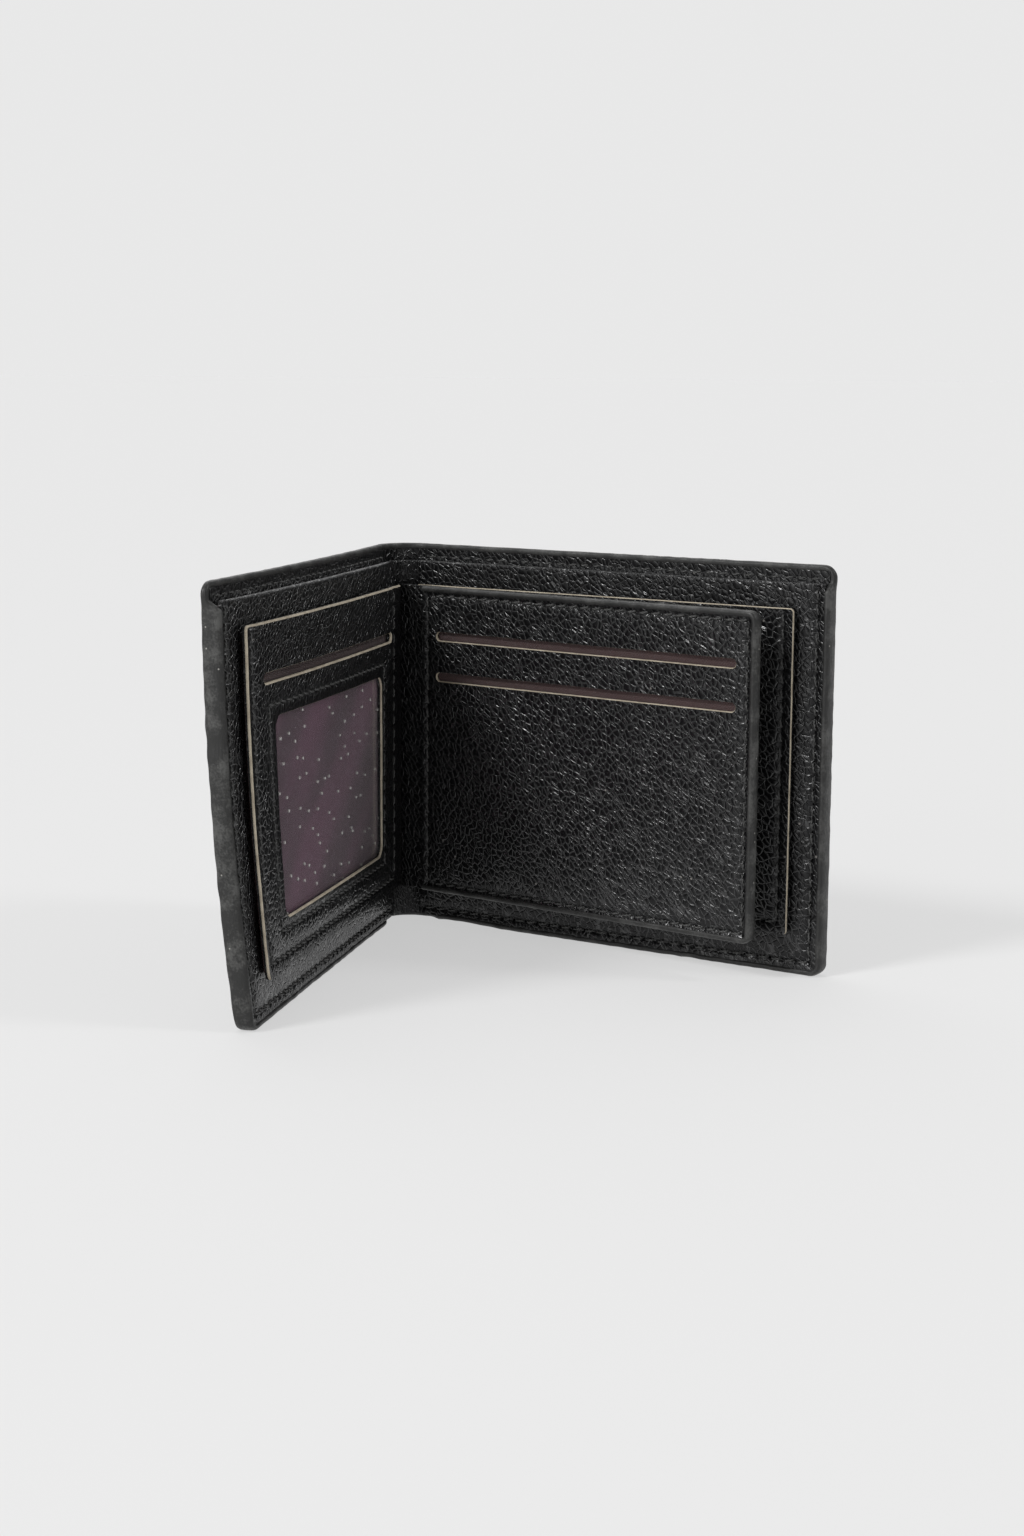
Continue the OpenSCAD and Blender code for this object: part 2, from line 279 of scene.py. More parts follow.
@dataclass(frozen=True)
class Relief:
    """How sewing and padding shape the good side of a leather sheet."""

    seams: Sequence[Seam] = ()
    fields: Sequence[Cut] = ()
    pressed_in: Sequence[Cut] = ()
    pad: float = 0.42
    pad_reach: float = 2.0
    groove: float = 0.5
    groove_reach: float = 0.6
    pucker: float = 0.5
    ripple: float = 0.1
    ripple_wave: float = 17.0
    ridges: Sequence[Seam] = ()
    ridge: float = 0.12
    sink: float = 0.0
    seed: int = 1

    def height(self, u: np.ndarray, z: np.ndarray) -> np.ndarray:
        """Return the surface height over the nominal face, at most a hair above it.

        Args:
            u: u of the points.
            z: z of the points.

        Returns:
            The height of each point in millimetres.
        """
        near = np.full(u.shape, 1e3)
        dip = np.zeros(u.shape)
        for seam in self.seams:
            d, t = seam.measure(u, z)
            beat = np.cos(2 * math.pi * t * seam.count / seam.length)
            well = np.exp(-((d / self.groove_reach) ** 2))
            dip = np.maximum(dip, self.groove * well * (1 - self.pucker + self.pucker * beat))
            near = np.minimum(near, d)
        calm = 1 - np.exp(-near / 3.0)
        wave = soft_noise(u, z, self.ripple_wave, self.seed) * self.ripple * calm
        fine = soft_noise(u, z, 4.2, self.seed + 7) * self.ripple * 0.22
        sunk = self.pad * np.exp(-near / self.pad_reach) if self.seams else 0.0
        raised = np.zeros(u.shape)
        for seam in self.ridges:
            d, _ = seam.measure(u, z)
            raised = np.maximum(raised, self.ridge * np.exp(-((d / 0.22) ** 2)))
        level = wave + fine + raised - self.ripple * 0.6 - sunk - dip
        return np.minimum(level, 0.05) - self.sink

    def pressed(self, u: np.ndarray, z: np.ndarray) -> np.ndarray:
        """Return 1 where the leather is pressed smooth and 0 in the grained fields.

        Args:
            u: u of the points.
            z: z of the points.

        Returns:
            The mask at each point.
        """
        inside = np.zeros(u.shape)
        for rect in self.fields:
            inside = np.maximum(inside, self._within(rect, u, z))
        mask = 1 - inside if self.fields else inside
        for rect in self.pressed_in:
            mask = np.maximum(mask, self._within(rect, u, z))
        return mask

    @staticmethod
    def _within(rect: Cut, u: np.ndarray, z: np.ndarray) -> np.ndarray:
        """Return a soft 0 to 1 mask of the inside of a rectangle."""
        inner = np.minimum(
            np.minimum(u - rect.u0, rect.u1 - u), np.minimum(z - rect.z0, rect.z1 - z)
        )
        return 1 / (1 + np.exp(-inner / 0.18))


# ---- mesh making -----------------------------------------------------------


def make_object(
    name: str,
    points: np.ndarray,
    faces: np.ndarray,
    materials: Sequence[bpy.types.Material],
    slots: Optional[np.ndarray] = None,
    crease: float = 48.0,
) -> bpy.types.Object:
    """Make a smooth-shaded mesh object from quads.

    Args:
        name: piece name.
        points: vertices in metres, one row each.
        faces: four vertex numbers a row.
        materials: material slots in order.
        slots: material slot of each face.
        crease: edges sharper than this many degrees stay sharp.

    Returns:
        The linked object.
    """
    mesh = bpy.data.meshes.new(name)
    mesh.from_pydata(points.tolist(), [], faces.tolist())
    for material in materials:
        mesh.materials.append(material)
    if slots is not None:
        mesh.polygons.foreach_set("material_index", slots.astype(np.int32))
    mesh.polygons.foreach_set("use_smooth", np.ones(len(faces), bool))
    mesh.update()
    mesh.set_sharp_from_angle(angle=math.radians(crease))
    piece = bpy.data.objects.new(name, mesh)
    bpy.context.scene.collection.objects.link(piece)
    return piece


def add_vectors(piece: bpy.types.Object, name: str, rows: np.ndarray) -> None:
    """Store one vector for each vertex."""
    layer = piece.data.attributes.new(name, "FLOAT_VECTOR", "POINT")
    layer.data.foreach_set("vector", rows.astype(np.float32).ravel())


def add_values(piece: bpy.types.Object, name: str, values: np.ndarray) -> None:
    """Store one number for each vertex."""
    layer = piece.data.attributes.new(name, "FLOAT", "POINT")
    layer.data.foreach_set("value", values.astype(np.float32).ravel())


def grid_lines(
    start: float, stop: float, step: float, zones: Sequence[tuple[float, float, float]]
) -> np.ndarray:
    """Return grid positions with exact marks and finer steps inside zones.

    Args:
        start: first line.
        stop: last line.
        step: widest spacing.
        zones: (low, high, spacing) stretches; their ends become lines.

    Returns:
        Rising positions from start to stop.
    """
    marks = {start, stop}
    for low, high, _ in zones:
        marks.update(m for m in (low, high) if start < m < stop)
    ordered = sorted(marks)
    lines = [start]
    for low, high in zip(ordered, ordered[1:]):
        if high - low < 1e-6:
            continue
        middle = (low + high) / 2
        spacing = min([step] + [s for a, b, s in zones if a <= middle <= b])
        count = max(1, math.ceil((high - low) / spacing - 1e-6))
        lines.extend(low + (high - low) * (i + 1) / count for i in range(count))
    return np.array(lines)


def smooth(share: np.ndarray) -> np.ndarray:
    """Return an eased 0 to 1 for a plain 0 to 1."""
    return share * share * (3 - 2 * share)


def edge_path(u0: float, u1: float, z0: float, z1: float, radius: float) -> np.ndarray:
    """Return an outline along the foot, round the free side and back along the top.

    Args:
        u0: where the foot and the top begin, near the spine.
        u1: the free side.
        z0: the foot.
        z1: the top.
        radius: radius of the two free corners.

    Returns:
        The outline's points, one (u, z) row each.
    """
    foot = np.arange(u0, u1 - radius, PATH_STEP)
    side = np.arange(z0 + radius, z1 - radius, PATH_STEP)[1:]
    turn = np.linspace(0, math.pi / 2, CORNER_POINTS)
    in_u, in_z = u1 - radius, z1 - radius
    return np.concatenate([
        np.column_stack([foot, np.full(len(foot), z0)]),
        np.column_stack([in_u + radius * np.sin(turn), z0 + radius - radius * np.cos(turn)]),
        np.column_stack([np.full(len(side), u1), side]),
        np.column_stack([in_u + radius * np.cos(turn), in_z + radius * np.sin(turn)]),
        np.column_stack([foot[::-1], np.full(len(foot), z1)]),
    ])


def tube_faces(rows: int, around: int, ends: Sequence[int]) -> np.ndarray:
    """Return the quads of a tube whose points are numbered ring by ring.

    Args:
        rows: number of rings.
        around: number of points in a ring.
        ends: the rings to close, 0 for the first and -1 for the last.

    Returns:
        Four point numbers a row.
    """
    ring = np.arange(rows * around).reshape(rows, around)
    after = np.roll(ring, -1, axis=1)
    wall = np.stack([ring[:-1], ring[1:], after[1:], after[:-1]], -1).reshape(-1, 4)
    faces = [wall]
    for end in ends:
        edge = ring[end]
        caps = [[edge[i], edge[i + 1], edge[-2 - i], edge[-1 - i]] for i in range(around // 2 - 1)]
        faces.append(np.array(caps)[:, ::-1] if end else np.array(caps))
    return np.concatenate(faces)


def round_corner(
    u: np.ndarray, z: np.ndarray, centre: tuple[float, float], sign: tuple[int, int],
    radius: float, outside: bool,
) -> tuple[np.ndarray, np.ndarray]:
    """Move grid points so that a square corner becomes a quarter circle.

    Args:
        u: u of the points.
        z: z of the points.
        centre: centre of the quarter circle.
        sign: which way the corner points, as +1 or -1 along u and z.
        radius: radius of the quarter circle.
        outside: True where the material lies outside the circle, as round a cut.

    Returns:
        The moved u and z.
    """
    x, y = (u - centre[0]) * sign[0] / radius, (z - centre[1]) * sign[1] / radius
    square = np.maximum(x, y)
    round_ = np.hypot(x, y)
    limit = 2.0 if outside else 1.0 + 1e-6
    chosen = (x > 1e-9) & (y > 1e-9) & (square <= limit)
    factor = np.where(round_ > 0, square / np.where(round_ > 0, round_, 1), 1)
    if outside:
        ease = np.clip(square - 1, 0, 1)
        factor = factor + (1 - factor) * smooth(ease)
    factor = np.where(chosen, factor, 1.0)
    u = np.where(chosen, centre[0] + x * factor * radius * sign[0], u)
    z = np.where(chosen, centre[1] + y * factor * radius * sign[1], z)
    return u, z


RIM_BAND, RIM_STEP = 0.9, 0.3
CORNER_STEP = 0.35
SEAM_BAND, SEAM_STEP = 1.0, 0.25
CUT_STEP = 0.18
TURNED_SHARE = 0.97  # how much of a turned rim's thickness its shoulder takes up
SHOULDER = (0.3, 0.6, 0.85, 1.0)  # where the rings of a bevelled rim lie, as shares of a quarter turn


@dataclass
class Sheet:
    """A thin closed sheet with a shaped good side, cuts and a finished rim.

    The rim bevel is a shoulder: the good side's outline lies that far inside the back's. The
    grid is finer in bands along the rim, the corners, the seams and the cuts.
    """

    name: str
    plane: Plane
    size: Extent
    facing: Facing
    relief: Relief
    step: float = 0.62
    cuts: Sequence[Cut] = ()
    corner: float = 0.0
    bevel: float = 0.0
    bevel_sides: tuple[bool, bool, bool, bool] = (True, True, True, True)
    wall: Wall = Wall.TURNED
    pale_share: float = 0.5
    texture_shift: tuple[float, float] = (0.0, 0.0)
    texture_sign: float = 1.0

    def _zones(self, low: float, high: float, axis: int) -> list[tuple[float, float, float]]:
        """Return the finer stretches of one grid direction.

        Args:
            low: where the grid begins.
            high: where it ends.
            axis: 0 along u, 1 along z.

        Returns:
            (low, high, spacing) of each stretch.
        """
        band = max(self.bevel, RIM_STEP) + RIM_BAND
        zones = [(low, low + band, RIM_STEP), (high - band, high, RIM_STEP)]
        if self.corner:
            zones += [(high - self.corner, high, CORNER_STEP)]
            zones += [(low, low + self.corner, CORNER_STEP)] if axis == 1 else []
        for seam in self.relief.seams:
            at = (seam.a[axis], seam.b[axis])
            if abs(at[0] - at[1]) < 0.01:
                zones.append((at[0] - SEAM_BAND, at[0], SEAM_STEP))
                zones.append((at[0], at[0] + SEAM_BAND, SEAM_STEP))
        for cut in self.cuts:
            sides = (cut.u0, cut.u1) if axis == 0 else (cut.z0, cut.z1)
            reach = min(cut.radius, (sides[1] - sides[0]) / 2)
            fine = max(CUT_STEP, cut.radius / 6)
            zones += [(sides[0] - cut.radius, sides[0], fine), (sides[0], sides[0] + reach, fine)]
            zones += [(sides[1] - reach, sides[1], fine), (sides[1], sides[1] + cut.radius, fine)]
        return zones

    def _grids(self) -> tuple[np.ndarray, np.ndarray]:
        """Return the u and z lines."""
        s = self.size
        u = grid_lines(s.u0, s.u1, self.step, self._zones(s.u0, s.u1, 0))
        z = grid_lines(s.z0, s.z1, self.step, self._zones(s.z0, s.z1, 1))
        return u, z

    def _drawn_in(self, lines: np.ndarray, axis: int) -> np.ndarray:
        """Return the lines with the rims pulled back by the bevel, for the good side.

        Args:
            lines: grid positions.
            axis: 0 along u, 1 along z.

        Returns:
            The moved positions.
        """
        s = self.size
        low, high = (s.u0, s.u1) if axis == 0 else (s.z0, s.z1)
        first, last = self.bevel_sides[axis * 2], self.bevel_sides[axis * 2 + 1]
        ease = self.bevel + RIM_BAND
        knots = [(low, low + self.bevel * first), (low + ease, low + ease)]
        knots += [(high - ease, high - ease), (high, high - self.bevel * last)]
        for cut in self.cuts:
            c = cut.skived(self.bevel)
            a, b = (cut.u0, cut.u1) if axis == 0 else (cut.z0, cut.z1)
            to_a, to_b = (c.u0, c.u1) if axis == 0 else (c.z0, c.z1)
            knots += [(a - ease, a - ease), (a, to_a)]
            knots += [((a + b) / 2, (a + b) / 2), (b, to_b), (b + ease, b + ease)]
        knots.sort()
        return np.interp(lines, [k[0] for k in knots], [k[1] for k in knots])

    def _warp(
        self, u: np.ndarray, z: np.ndarray, draw: float
    ) -> tuple[np.ndarray, np.ndarray]:
        """Return the grid with its free corners and its cuts' corners rounded.

        Args:
            u: u of the grid points.
            z: z of the grid points.
            draw: how far this side is drawn in from the rim.

        Returns:
            The moved u and z.
        """
        s = self.size
        free = s.u1 - draw * self.bevel_sides[1]
        feet = {-1: s.z0 + draw * self.bevel_sides[2], 1: s.z1 - draw * self.bevel_sides[3]}
        if self.corner:
            r = max(self.corner - draw, 0.2)
            for sz, edge in feet.items():
                centre = (free - r, edge - sz * r)
                u, z = round_corner(u, z, centre, (1, sz), r, outside=False)
        for cut in self.cuts:
            c = cut.skived(draw)
            for su, eu in ((-1, c.u0), (1, c.u1)):
                for sz, ez in ((-1, c.z0), (1, c.z1)):
                    r = min(c.radius, (c.z1 - c.z0) * 0.49)
                    centre = (eu - su * r, ez - sz * r)
                    u, z = round_corner(u, z, centre, (su, sz), r, outside=True)
        return u, z

    def build(self, materials: Sequence[bpy.types.Material]) -> bpy.types.Object:
        """Build the sheet.

        Args:
            materials: the face's finish, then the rim's finish if the rim is raw.

        Returns:
            The piece, with its leaf coordinates and pressed mask stored on it.
        """
        s, side = self.size, self.facing.value
        good, back = (s.w0, s.w1) if side < 0 else (s.w1, s.w0)
        u_lines, z_lines = self._grids()
        flat_u, flat_z = np.meshgrid(u_lines, z_lines, indexing="ij")
        face_u, face_z = np.meshgrid(
            self._drawn_in(u_lines, 0), self._drawn_in(z_lines, 1), indexing="ij"
        )
        height = self.relief.height(face_u, face_z)
        pressed = self.relief.pressed(face_u, face_z)
        keep = np.ones((len(u_lines) - 1, len(z_lines) - 1), bool)
        mid_u = (u_lines[:-1] + u_lines[1:])[:, None] / 2
        mid_z = (z_lines[:-1] + z_lines[1:])[None, :] / 2
        for cut in self.cuts:
            keep &= ~(
                (mid_u > cut.u0) & (mid_u < cut.u1) & (mid_z > cut.z0) & (mid_z < cut.z1)
            )
        fu, fz = self._warp(face_u, face_z, self.bevel)
        bu, bz = self._warp(flat_u, flat_z, 0.0)
        fw = good + side * height
        bw = np.full(bu.shape, back)
        return self._assemble(materials, keep, (fu, fw, fz), (bu, bw, bz), pressed)

    def _assemble(
        self,
        materials: Sequence[bpy.types.Material],
        keep: np.ndarray,
        face: tuple[np.ndarray, np.ndarray, np.ndarray],
        back: tuple[np.ndarray, np.ndarray, np.ndarray],
        pressed: np.ndarray,
    ) -> bpy.types.Object:
        """Join the good side, the back and the rim into one closed mesh.

        Args:
            materials: material slots in order.
            keep: which grid cells the cuts leave.
            face: u, w and z of the good side's points.
            back: u, w and z of the back's points.
            pressed: the pressed mask at the good side's points.

        Returns:
            The piece.
        """
        nu, nz = face[0].shape
        number = np.arange(nu * nz).reshape(nu, nz)
        a, b = number[:-1, :-1], number[1:, :-1]
        c, d = number[1:, 1:], number[:-1, 1:]
        quads = np.stack([a, b, c, d], -1)[keep]
        padded = np.zeros((nu + 1, nz + 1), bool)
        padded[1:-1, 1:-1] = keep
        rims = []
        for (du, dz), (p, q) in {
            (0, -1): (a, b), (1, 0): (b, c), (0, 1): (c, d), (-1, 0): (d, a)
        }.items():
            beside = padded[1 + du : nu + du, 1 + dz : nz + dz]
            lone = keep & ~beside
            rims.append(np.stack([p[lone], q[lone]], -1))
        rim = np.concatenate(rims)
        total = nu * nz
        rows = [np.stack([g.ravel() for g in face], -1), np.stack([g.ravel() for g in back], -1)]
        masks = [pressed.ravel(), pressed.ravel()]
        on_rim = np.unique(rim)
        shoulder = SHOULDER if self.bevel else ()
        depth = self.pale_share if self.wall is Wall.RAW else TURNED_SHARE
        rings = [np.arange(total)]
        for i, t in enumerate(shoulder):
            out, down = math.sin(t * math.pi / 2), 1 - math.cos(t * math.pi / 2)
            share = np.array([out, down * depth, out])
            ring = rows[0][on_rim] * (1 - share) + rows[1][on_rim] * share
            index = np.full(total, -1)
            index[on_rim] = 2 * total + i * len(on_rim) + np.arange(len(on_rim))
            rows.append(ring)
            masks.append(pressed.ravel()[on_rim])
            rings.append(index)
        rings.append(np.arange(total) + total)
        faces = [quads, quads[:, ::-1] + total]
        for upper, lower in zip(rings, rings[1:]):
            near, far = rim[:, 0], rim[:, 1]
            faces.append(np.stack([upper[far], upper[near], lower[near], lower[far]], -1))
        pale = len(rim) * len(shoulder) if self.wall is Wall.RAW else 0
        slots = np.repeat([0, 1, 0], [len(quads) * 2, pale, len(rim) * (len(rings) - 1) - pale])
        every = np.concatenate(faces)
        leaf = np.concatenate(rows)
        mask = np.concatenate(masks)
        used, every = np.unique(every, return_inverse=True)
        every = every.reshape(-1, 4)
        leaf, mask = leaf[used], mask[used]
        turned = (self.facing is Facing.INSIDE) != self.plane.mirrored
        if not turned:
            every = every[:, ::-1]
        piece = make_object(
            self.name, self.plane.place(leaf[:, 0], leaf[:, 1], leaf[:, 2]), every,
            materials, slots,
        )
        texture = np.column_stack([
            self.texture_sign * leaf[:, 0] + self.texture_shift[0],
            leaf[:, 2] + self.texture_shift[1],
            leaf[:, 1],
        ])
        add_vectors(piece, "leaf_mm", texture)
        add_values(piece, "pressed", mask)
        return piece


@dataclass
class Bead:
    """A rounded painted edge swept along an outline in u and z."""

    name: str
    plane: Plane
    path: np.ndarray
    low: np.ndarray
    high: np.ndarray
    width: float = 1.7
    power: float = 2.7
    unevenness: float = 0.07
    around: int = 22
    seed: int = 3

    def build(self, material: bpy.types.Material) -> bpy.types.Object:
        """Sweep the section along the path and close both ends.

        Args:
            material: the paint.

        Returns:
            The piece.
        """
        ahead = np.gradient(self.path, axis=0)
        ahead /= np.linalg.norm(ahead, axis=1)[:, None]
        outward = np.column_stack([ahead[:, 1], -ahead[:, 0]])
        run = np.concatenate([[0], np.cumsum(np.linalg.norm(np.diff(self.path, axis=0), axis=1))])
        turn = np.linspace(0, 2 * math.pi, self.around, endpoint=False)
        cos, sin = np.cos(turn), np.sin(turn)
        across = np.sign(cos) * np.abs(cos) ** (2 / self.power)
        along_w = np.sign(sin) * np.abs(sin) ** (2 / self.power)
        wobble = soft_noise(run, run * 0, 9.0, self.seed) * self.unevenness
        swell = soft_noise(run, run * 0, 6.0, self.seed + 1) * self.unevenness
        half_n = self.width / 2
        n = -half_n - np.abs(wobble)[:, None] + half_n * across[None, :]
        middle, half_w = (self.low + self.high) / 2, (self.high - self.low) / 2
        w = middle[:, None] + (half_w + swell - self.unevenness)[:, None] * along_w[None, :]
        u = self.path[:, :1] + n * outward[:, :1]
        z = self.path[:, 1:] + n * outward[:, 1:]
        faces = tube_faces(len(self.path), self.around, (0, -1))
        if self.plane.mirrored:
            faces = faces[:, ::-1]
        piece = make_object(
            self.name, self.plane.place(u, w, z), faces, [material], crease=75.0
        )
        texture = np.column_stack([np.repeat(run, self.around), w.ravel(), n.ravel()])
        add_vectors(piece, "leaf_mm", texture)
        add_values(piece, "pressed", np.clip(1 + n.ravel() / self.width, 0, 1))
        return piece


@dataclass
class StitchRun:
    """Two-ply stitches that lie in a groove and dive into the leather at both ends."""

    name: str
    plane: Plane
    rows: Sequence[tuple[Seam, float, Facing]]
    length: float = 2.45
    thread: float = 0.33
    slant: float = 7.0
    dive: float = 0.34
    stations: int = 11
    around: int = 6

    def build(self, material: bpy.types.Material) -> bpy.types.Object:
        """Build every stitch of every row as one mesh.

        Args:
            material: the thread.

        Returns:
            The piece.
        """
        points, faces = [], []
        rng = np.random.default_rng(11)
        for seam, level, facing in self.rows:
            for i in range(seam.count):
                at = seam.length * (i + 0.5) / seam.count
                centre = np.array(seam.a) + seam.direction() * at
                lean = math.radians(self.slant + rng.normal(0, 1.5))
                d = seam.direction()
                d = np.array([
                    d[0] * math.cos(lean) - d[1] * math.sin(lean),
                    d[0] * math.sin(lean) + d[1] * math.cos(lean),
                ])
                for ply in (0, 1):
                    new, quads = self._ply(centre, d, level, facing, ply, rng.normal(0, 0.02))
                    faces.append(quads + sum(len(p) for p in points))
                    points.append(new)
        leaf = np.concatenate(points)
        piece = make_object(
            self.name, self.plane.place(leaf[:, 0], leaf[:, 1], leaf[:, 2]),
            np.concatenate(faces), [material], crease=80.0,
        )
        add_vectors(piece, "leaf_mm", leaf[:, [0, 2, 1]])
        return piece

    def _ply(
        self, centre: np.ndarray, d: np.ndarray, level: float, facing: Facing, ply: int,
        lift: float,
    ) -> tuple[np.ndarray, np.ndarray]:
        """Return one strand of one stitch.

        Args:
            centre: u and z of the stitch's middle.
            d: unit vector along the stitch.
            level: w of the groove's bottom.
            facing: the side that the stitch shows on.
            ply: 0 or 1, which of the two strands.
            lift: how far this strand stands up.

        Returns:
            Its points in leaf coordinates and its quads.
        """
        t = np.linspace(-0.5, 0.5, self.stations)
        twist = t * 2 * math.pi * 1.15 + ply * math.pi
        radius = self.thread * 0.56 * (1 - 0.45 * np.abs(2 * t) ** 6)
        side = np.array([-d[1], d[0]])
        sink = self.dive * np.abs(2 * t) ** 3.2
        off = self.thread * 0.42
        sideways = off * np.cos(twist)
        up = off * 0.8 * np.sin(twist) - sink + lift
        turn = np.linspace(0, 2 * math.pi, self.around, endpoint=False)
        across = sideways[:, None] + radius[:, None] * np.cos(turn)
        above = up[:, None] + radius[:, None] * np.sin(turn)
        along = (t * self.length)[:, None] + np.zeros(self.around)
        u = centre[0] + along * d[0] + across * side[0]
        z = centre[1] + along * d[1] + across * side[1]
        w = level + facing.value * above
        quads = tube_faces(self.stations, self.around, (0, -1))
        return np.column_stack([u.ravel(), w.ravel(), z.ravel()]), quads


# ---- finishes --------------------------------------------------------------

Colour = tuple[float, float, float]
Socket = bpy.types.NodeSocket
Sockets = bpy.types.bpy_prop_collection


class NodeBench:
    """Adds and links shader nodes in one tree."""

    def __init__(self, tree: bpy.types.NodeTree) -> None:
        """Start on a node tree."""
        self.tree = tree

    def add(self, kind: str, settings: Optional[dict] = None, **inputs: object) -> bpy.types.Node:
        """Add a node.

        Args:
            kind: node type without the ShaderNode prefix.
            settings: node properties by name.
            **inputs: values or sockets for inputs; underscores stand for spaces, and i0, i1
                and so on name inputs by number.

        Returns:
            The node.
        """
        node = self.tree.nodes.new("ShaderNode" + kind)
        for key, value in (settings or {}).items():
            setattr(node, key, value)
        for key, value in inputs.items():
            numbered = key[0] == "i" and key[1:].isdigit()
            socket = node.inputs[int(key[1:])] if numbered else node.inputs[key.replace("_", " ")]
            self.feed(socket, value)
        return node

    def feed(self, socket: bpy.types.NodeSocket, value: object) -> None:
        """Link a socket to another, or set its value.

        Args:
            socket: the input to feed.
            value: a socket, a number, or a colour or vector.
        """
        if isinstance(value, bpy.types.NodeSocket):
            self.tree.links.new(value, socket)
        elif isinstance(value, tuple) and socket.type == "RGBA":
            socket.default_value = (*value, 1.0)
        else:
            socket.default_value = value

    def math(self, operation: str, a: object, b: object = 0.0, clamp: bool = False) -> Socket:
        """Return the result socket of a Math node."""
        node = self.add("Math", {"operation": operation, "use_clamp": clamp}, i0=a, i1=b)
        return node.outputs[0]

    def ramp(
        self, value: Socket, low: float, high: float, to_low: float = 0.0, to_high: float = 1.0
    ) -> Socket:
        """Return a value's low to high eased into to_low to to_high."""
        node = self.add("MapRange", {"interpolation_type": "SMOOTHSTEP"},
                        i0=value, i1=low, i2=high, i3=to_low, i4=to_high)
        return node.outputs[0]

    def mix(self, factor: Socket, a: object, b: object) -> Socket:
        """Return a colour mix."""
        node = self.add("Mix", {"data_type": "RGBA"}, i0=factor, i6=a, i7=b)
        return node.outputs[2]

    def noise(
        self, vector: Socket, scale: float, detail: float = 2.0, rough: float = 0.5
    ) -> Socket:
        """Return the value of a noise texture."""
        node = self.add("TexNoise", None, Vector=vector, Scale=scale, Detail=detail,
                        Roughness=rough)
        return node.outputs[0]

    def scaled(self, vector: Socket, cell: Socket) -> Socket:
        """Return a vector measured in cells of a size."""
        size = self.math("DIVIDE", 1.0, cell)
        return self.add("VectorMath", {"operation": "SCALE"}, i0=vector, Scale=size).outputs[0]

    def attribute(self, name: str, output: str) -> Socket:
        """Return what a mesh attribute holds."""
        return self.add("Attribute", {"attribute_name": name}).outputs[output]

    def bump(self, shader: bpy.types.Node, height: Socket, depth: float) -> Socket:
        """Feed a bump of a depth in millimetres to the shader's normal, and return it."""
        node = self.add("Bump", None, Strength=1.0, Distance=depth * MM, Height=height)
        self.feed(shader.inputs["Normal"], node.outputs[0])
        return node.outputs[0]

    def mapped(
        self, vector: Socket, turn: float = 0.0, scale: Sequence[float] = (1, 1, 1)
    ) -> Socket:
        """Return a vector turned about its third axis, then scaled."""
        turned = self.add("VectorRotate", {"rotation_type": "Z_AXIS"}, Vector=vector,
                          Angle=math.radians(turn)).outputs[0]
        node = self.add("VectorMath", {"operation": "MULTIPLY"}, i0=turned, i1=tuple(scale))
        return node.outputs[0]


class NodeGroup:
    """A shared effect with named sockets, built once and placed in many materials."""

    name: str = ""
    inputs: Sequence[tuple[str, str, object]] = ()
    outputs: Sequence[tuple[str, str]] = ()

    def tree(self) -> bpy.types.NodeTree:
        """Return the group's tree, building it the first time."""
        found = bpy.data.node_groups.get(self.name)
        if found:
            return found
        tree = bpy.data.node_groups.new(self.name, "ShaderNodeTree")
        for label, kind, value in self.inputs:
            socket = tree.interface.new_socket(label, in_out="INPUT", socket_type=kind)
            if value is not None:
                socket.default_value = value
        for label, kind in self.outputs:
            tree.interface.new_socket(label, in_out="OUTPUT", socket_type=kind)
        bench = NodeBench(tree)
        source = tree.nodes.new("NodeGroupInput")
        sink = tree.nodes.new("NodeGroupOutput")
        self.wire(bench, source.outputs, sink.inputs)
        return tree

    def wire(self, bench: NodeBench, given: Sockets, result: Sockets) -> None:
        """Build the nodes between the group's inputs and outputs.

        Args:
            bench: adds nodes to the group's tree.
            given: the group's input sockets by name.
            result: the group's output sockets by name.
        """
        raise NotImplementedError

    def place(self, bench: NodeBench, **inputs: object) -> bpy.types.Node:
        """Place the group in a material.

        Args:
            bench: adds nodes to the material's tree.
            **inputs: values or sockets for the group's inputs.

        Returns:
            The group's node.
        """
        node = bench.tree.nodes.new("ShaderNodeGroup")
        node.node_tree = self.tree()
        for key, value in inputs.items():
            bench.feed(node.inputs[key.replace("_", " ")], value)
        return node


FLOAT, VECTOR = "NodeSocketFloat", "NodeSocketVector"


